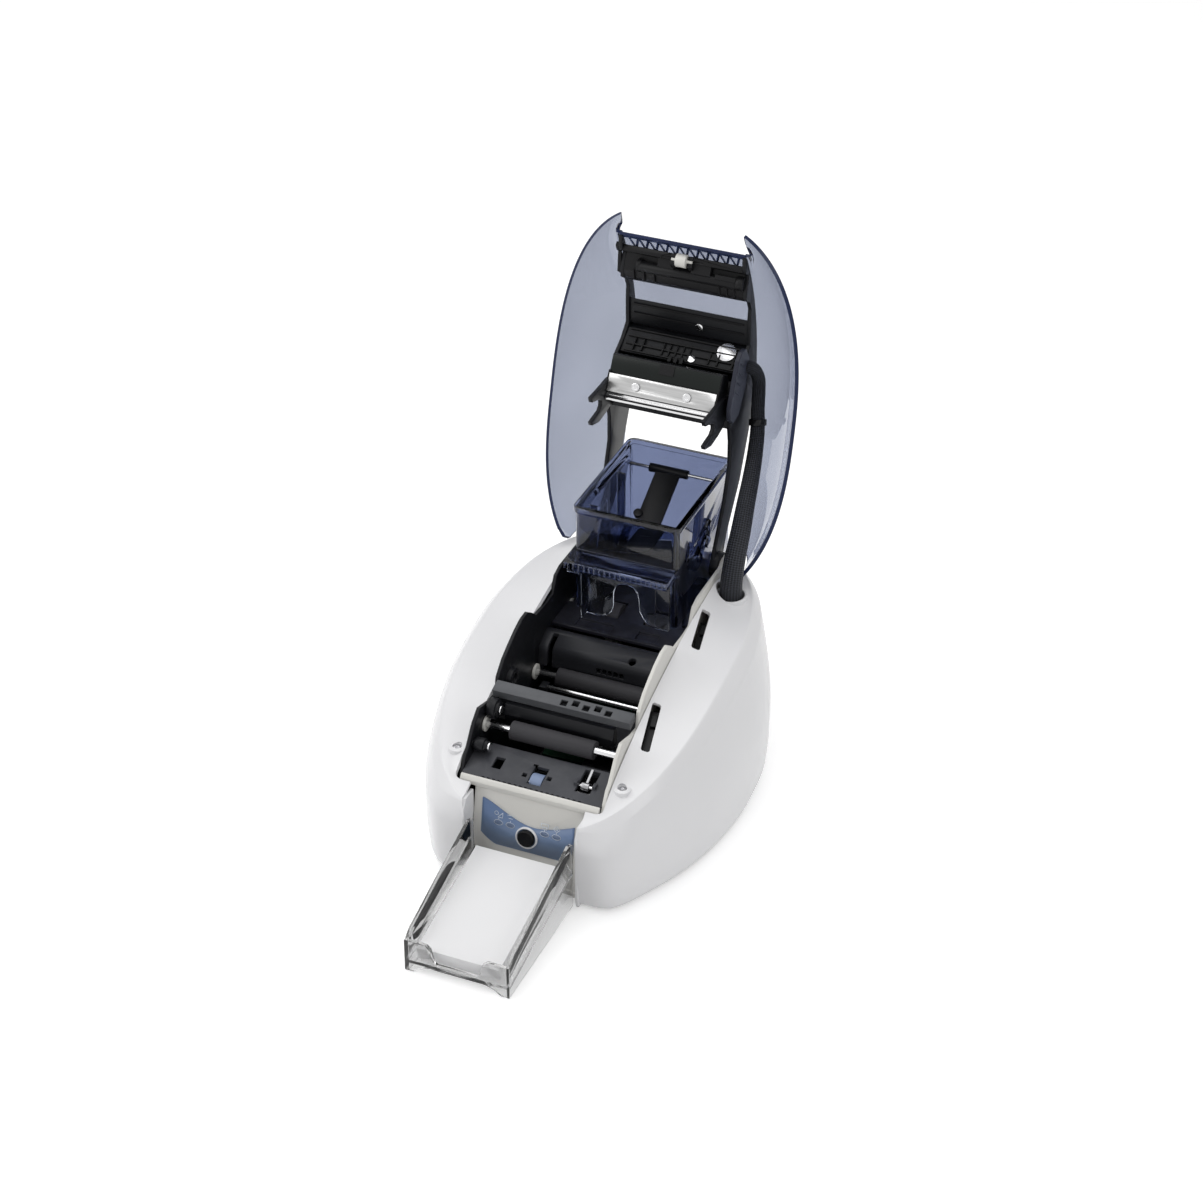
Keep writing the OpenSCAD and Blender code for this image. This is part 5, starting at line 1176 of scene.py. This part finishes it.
material, tree, shader = new_material("braided sleeve")
woven = node_in(tree, "SeparateXYZ", {0: node_in(tree, "UVMap", {}, uv_map="braid").outputs[0]})
around = combined(tree, woven.outputs[0], braid_rounds * 2 * math.pi, "MULTIPLY")
along = combined(tree, woven.outputs[1], braid_along * 2 * math.pi, "MULTIPLY")
waves = [
    node_in(tree, "Math", {0: combined(tree, around, along, how)}, operation="SINE").outputs[0]
    for how in ("ADD", "SUBTRACT")
]
strand = ranged(tree, combined(tree, *waves, "MULTIPLY"), -1.0, 1.0)
thread = between(tree, strand, (*braid_dark, 1.0), (*braid_light, 1.0))
fuzz = ranged(tree, noise(tree, object_place(tree), thread_per_metre, 2.0), to_low=0.7, to_high=1.3)
tree.links.new(tinted(tree, thread, fuzz), shader.inputs["Base Color"])
shader.inputs["Roughness"].default_value = 0.55
shader.inputs["Specular IOR Level"].default_value = dark_shine
bumped(tree, shader, strand, braid_deep)
bm = bmesh.new()
uv = bm.loops.layers.uv.new("braid")
across = Vector((0, 1, 0))
rings = []
for i in range(cable_rings + 1):
    u = i / cable_rings
    way = (cable_at(min(1, u + 0.002)) - cable_at(max(0, u - 0.002))).normalized()
    across = (across - way * across.dot(way)).normalized()
    other = way.cross(across)
    r = cable_radius(u)
    middle = cable_at(u)
    turns = circle_points(0, 0, 2 * r, cable_sides)
    rings.append([bm.verts.new((middle + across * p + other * q) * mm) for p, q in turns])
for i in range(cable_rings):
    for k in range(cable_sides):
        n = (k + 1) % cable_sides
        face = bm.faces.new((rings[i][k], rings[i][n], rings[i + 1][n], rings[i + 1][k]))
        for loop, (a, b) in zip(face.loops, ((k, i), (k + 1, i), (k + 1, i + 1), (k, i + 1))):
            loop[uv].uv = (a / cable_sides, b / cable_rings)
bm.faces.new(list(reversed(rings[0])))
bm.faces.new(rings[-1])
outward(bm)
for face in bm.faces:
    face.smooth = len(face.verts) == 4
braid = placed(bm, "cable_braid", material)
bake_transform(braid)
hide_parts("cable_sleeve")
softened("cable_tie", gloss_black, 0.2)

# Card tray and cards.
# The tray is one clear smoky moulding that slides out on the table. The finished cards lie in it, bare
# and white.
tray_face = (0.80, 0.80, 0.80)
tray_edge = (0.62, 0.62, 0.63)
card_white = (0.80, 0.80, 0.81)
tray_clear = clear_plastic("tray clear plastic", tray_face, tray_edge, gloss=0.03)
card_plastic = plastic("card plastic", card_white, 0.3, tone=0.02)
softened("output_tray", tray_clear, 0.35)
softened("card_stack", card_plastic, 0.08)

# Floor, lamps and camera.
# A pale floor that looks white to the camera and still takes the shadow, a bright room that lights less
# than it shows, and soft lamps overhead and at the sides.
floor_half = 2.5
floor_low = -0.0002
floor_white = (0.9, 0.9, 0.9)
floor_lift = 0.4
room_light = 0.48
lamp_aim = Vector((0, 0, 0.1))
camera_at = (0.6191, -1.4195, 1.1789)
camera_turn = 23.11
camera_lift = 33.37
camera_lens = 90.21
camera_sensor = 36.0
lamps = [
    ("lamp_over", (-0.2, 0.2, 1.6), 1.4, 9.5),
    ("lamp_left", (-1.5, -0.7, 1.1), 1.0, 9.0),
    ("lamp_right", (1.5, -0.6, 1.0), 0.9, 4.0),
]
bm = bmesh.new()
signs = ((-1, -1), (1, -1), (1, 1), (-1, 1))
bm.faces.new([bm.verts.new((x * floor_half, y * floor_half, floor_low)) for x, y in signs])
material, tree, shader = new_material("pale floor")
shader.inputs["Base Color"].default_value = (*floor_white, 1.0)
shader.inputs["Roughness"].default_value = 0.9
shader.inputs["Specular IOR Level"].default_value = 0.1
floor = placed(bm, "floor", material)


def looked_at(tree):
    """1 where the camera looks straight, by a reflection or through clear plastic, 0 for other light."""
    rays = node_in(tree, "LightPath", {}).outputs
    straight = combined(tree, rays["Is Camera Ray"], rays["Is Glossy Ray"], "ADD")
    return combined(tree, straight, rays["Is Transmission Ray"], "ADD", True)


lift = combined(tree, looked_at(tree), floor_lift, "MULTIPLY")
shader.inputs["Emission Color"].default_value = (1, 1, 1, 1)
tree.links.new(lift, shader.inputs["Emission Strength"])

world = bpy.data.worlds.new("white room")
world.use_nodes = True
bpy.context.scene.world = world
tree = world.node_tree
room = tree.nodes["Background"]
room.inputs["Color"].default_value = (1, 1, 1, 1)
tree.links.new(ranged(tree, looked_at(tree), to_low=room_light), room.inputs["Strength"])

for name, spot, size, power in lamps:
    lamp = bpy.data.lights.new(name, "AREA")
    lamp.shape = "SQUARE"
    lamp.size = size
    lamp.energy = power
    thing = bpy.data.objects.new(name, lamp)
    thing.location = spot
    thing.rotation_euler = (lamp_aim - Vector(spot)).to_track_quat("-Z", "Y").to_euler()
    bpy.context.scene.collection.objects.link(thing)

view = bpy.data.cameras.new("camera")
view.lens = camera_lens
view.sensor_width = camera_sensor
camera = bpy.data.objects.new("camera", view)
camera.location = camera_at
camera.rotation_euler = (math.radians(90 - camera_lift), 0, math.radians(camera_turn))
bpy.context.scene.collection.objects.link(camera)
bpy.context.scene.camera = camera
bpy.context.scene.view_settings.view_transform = "Standard"
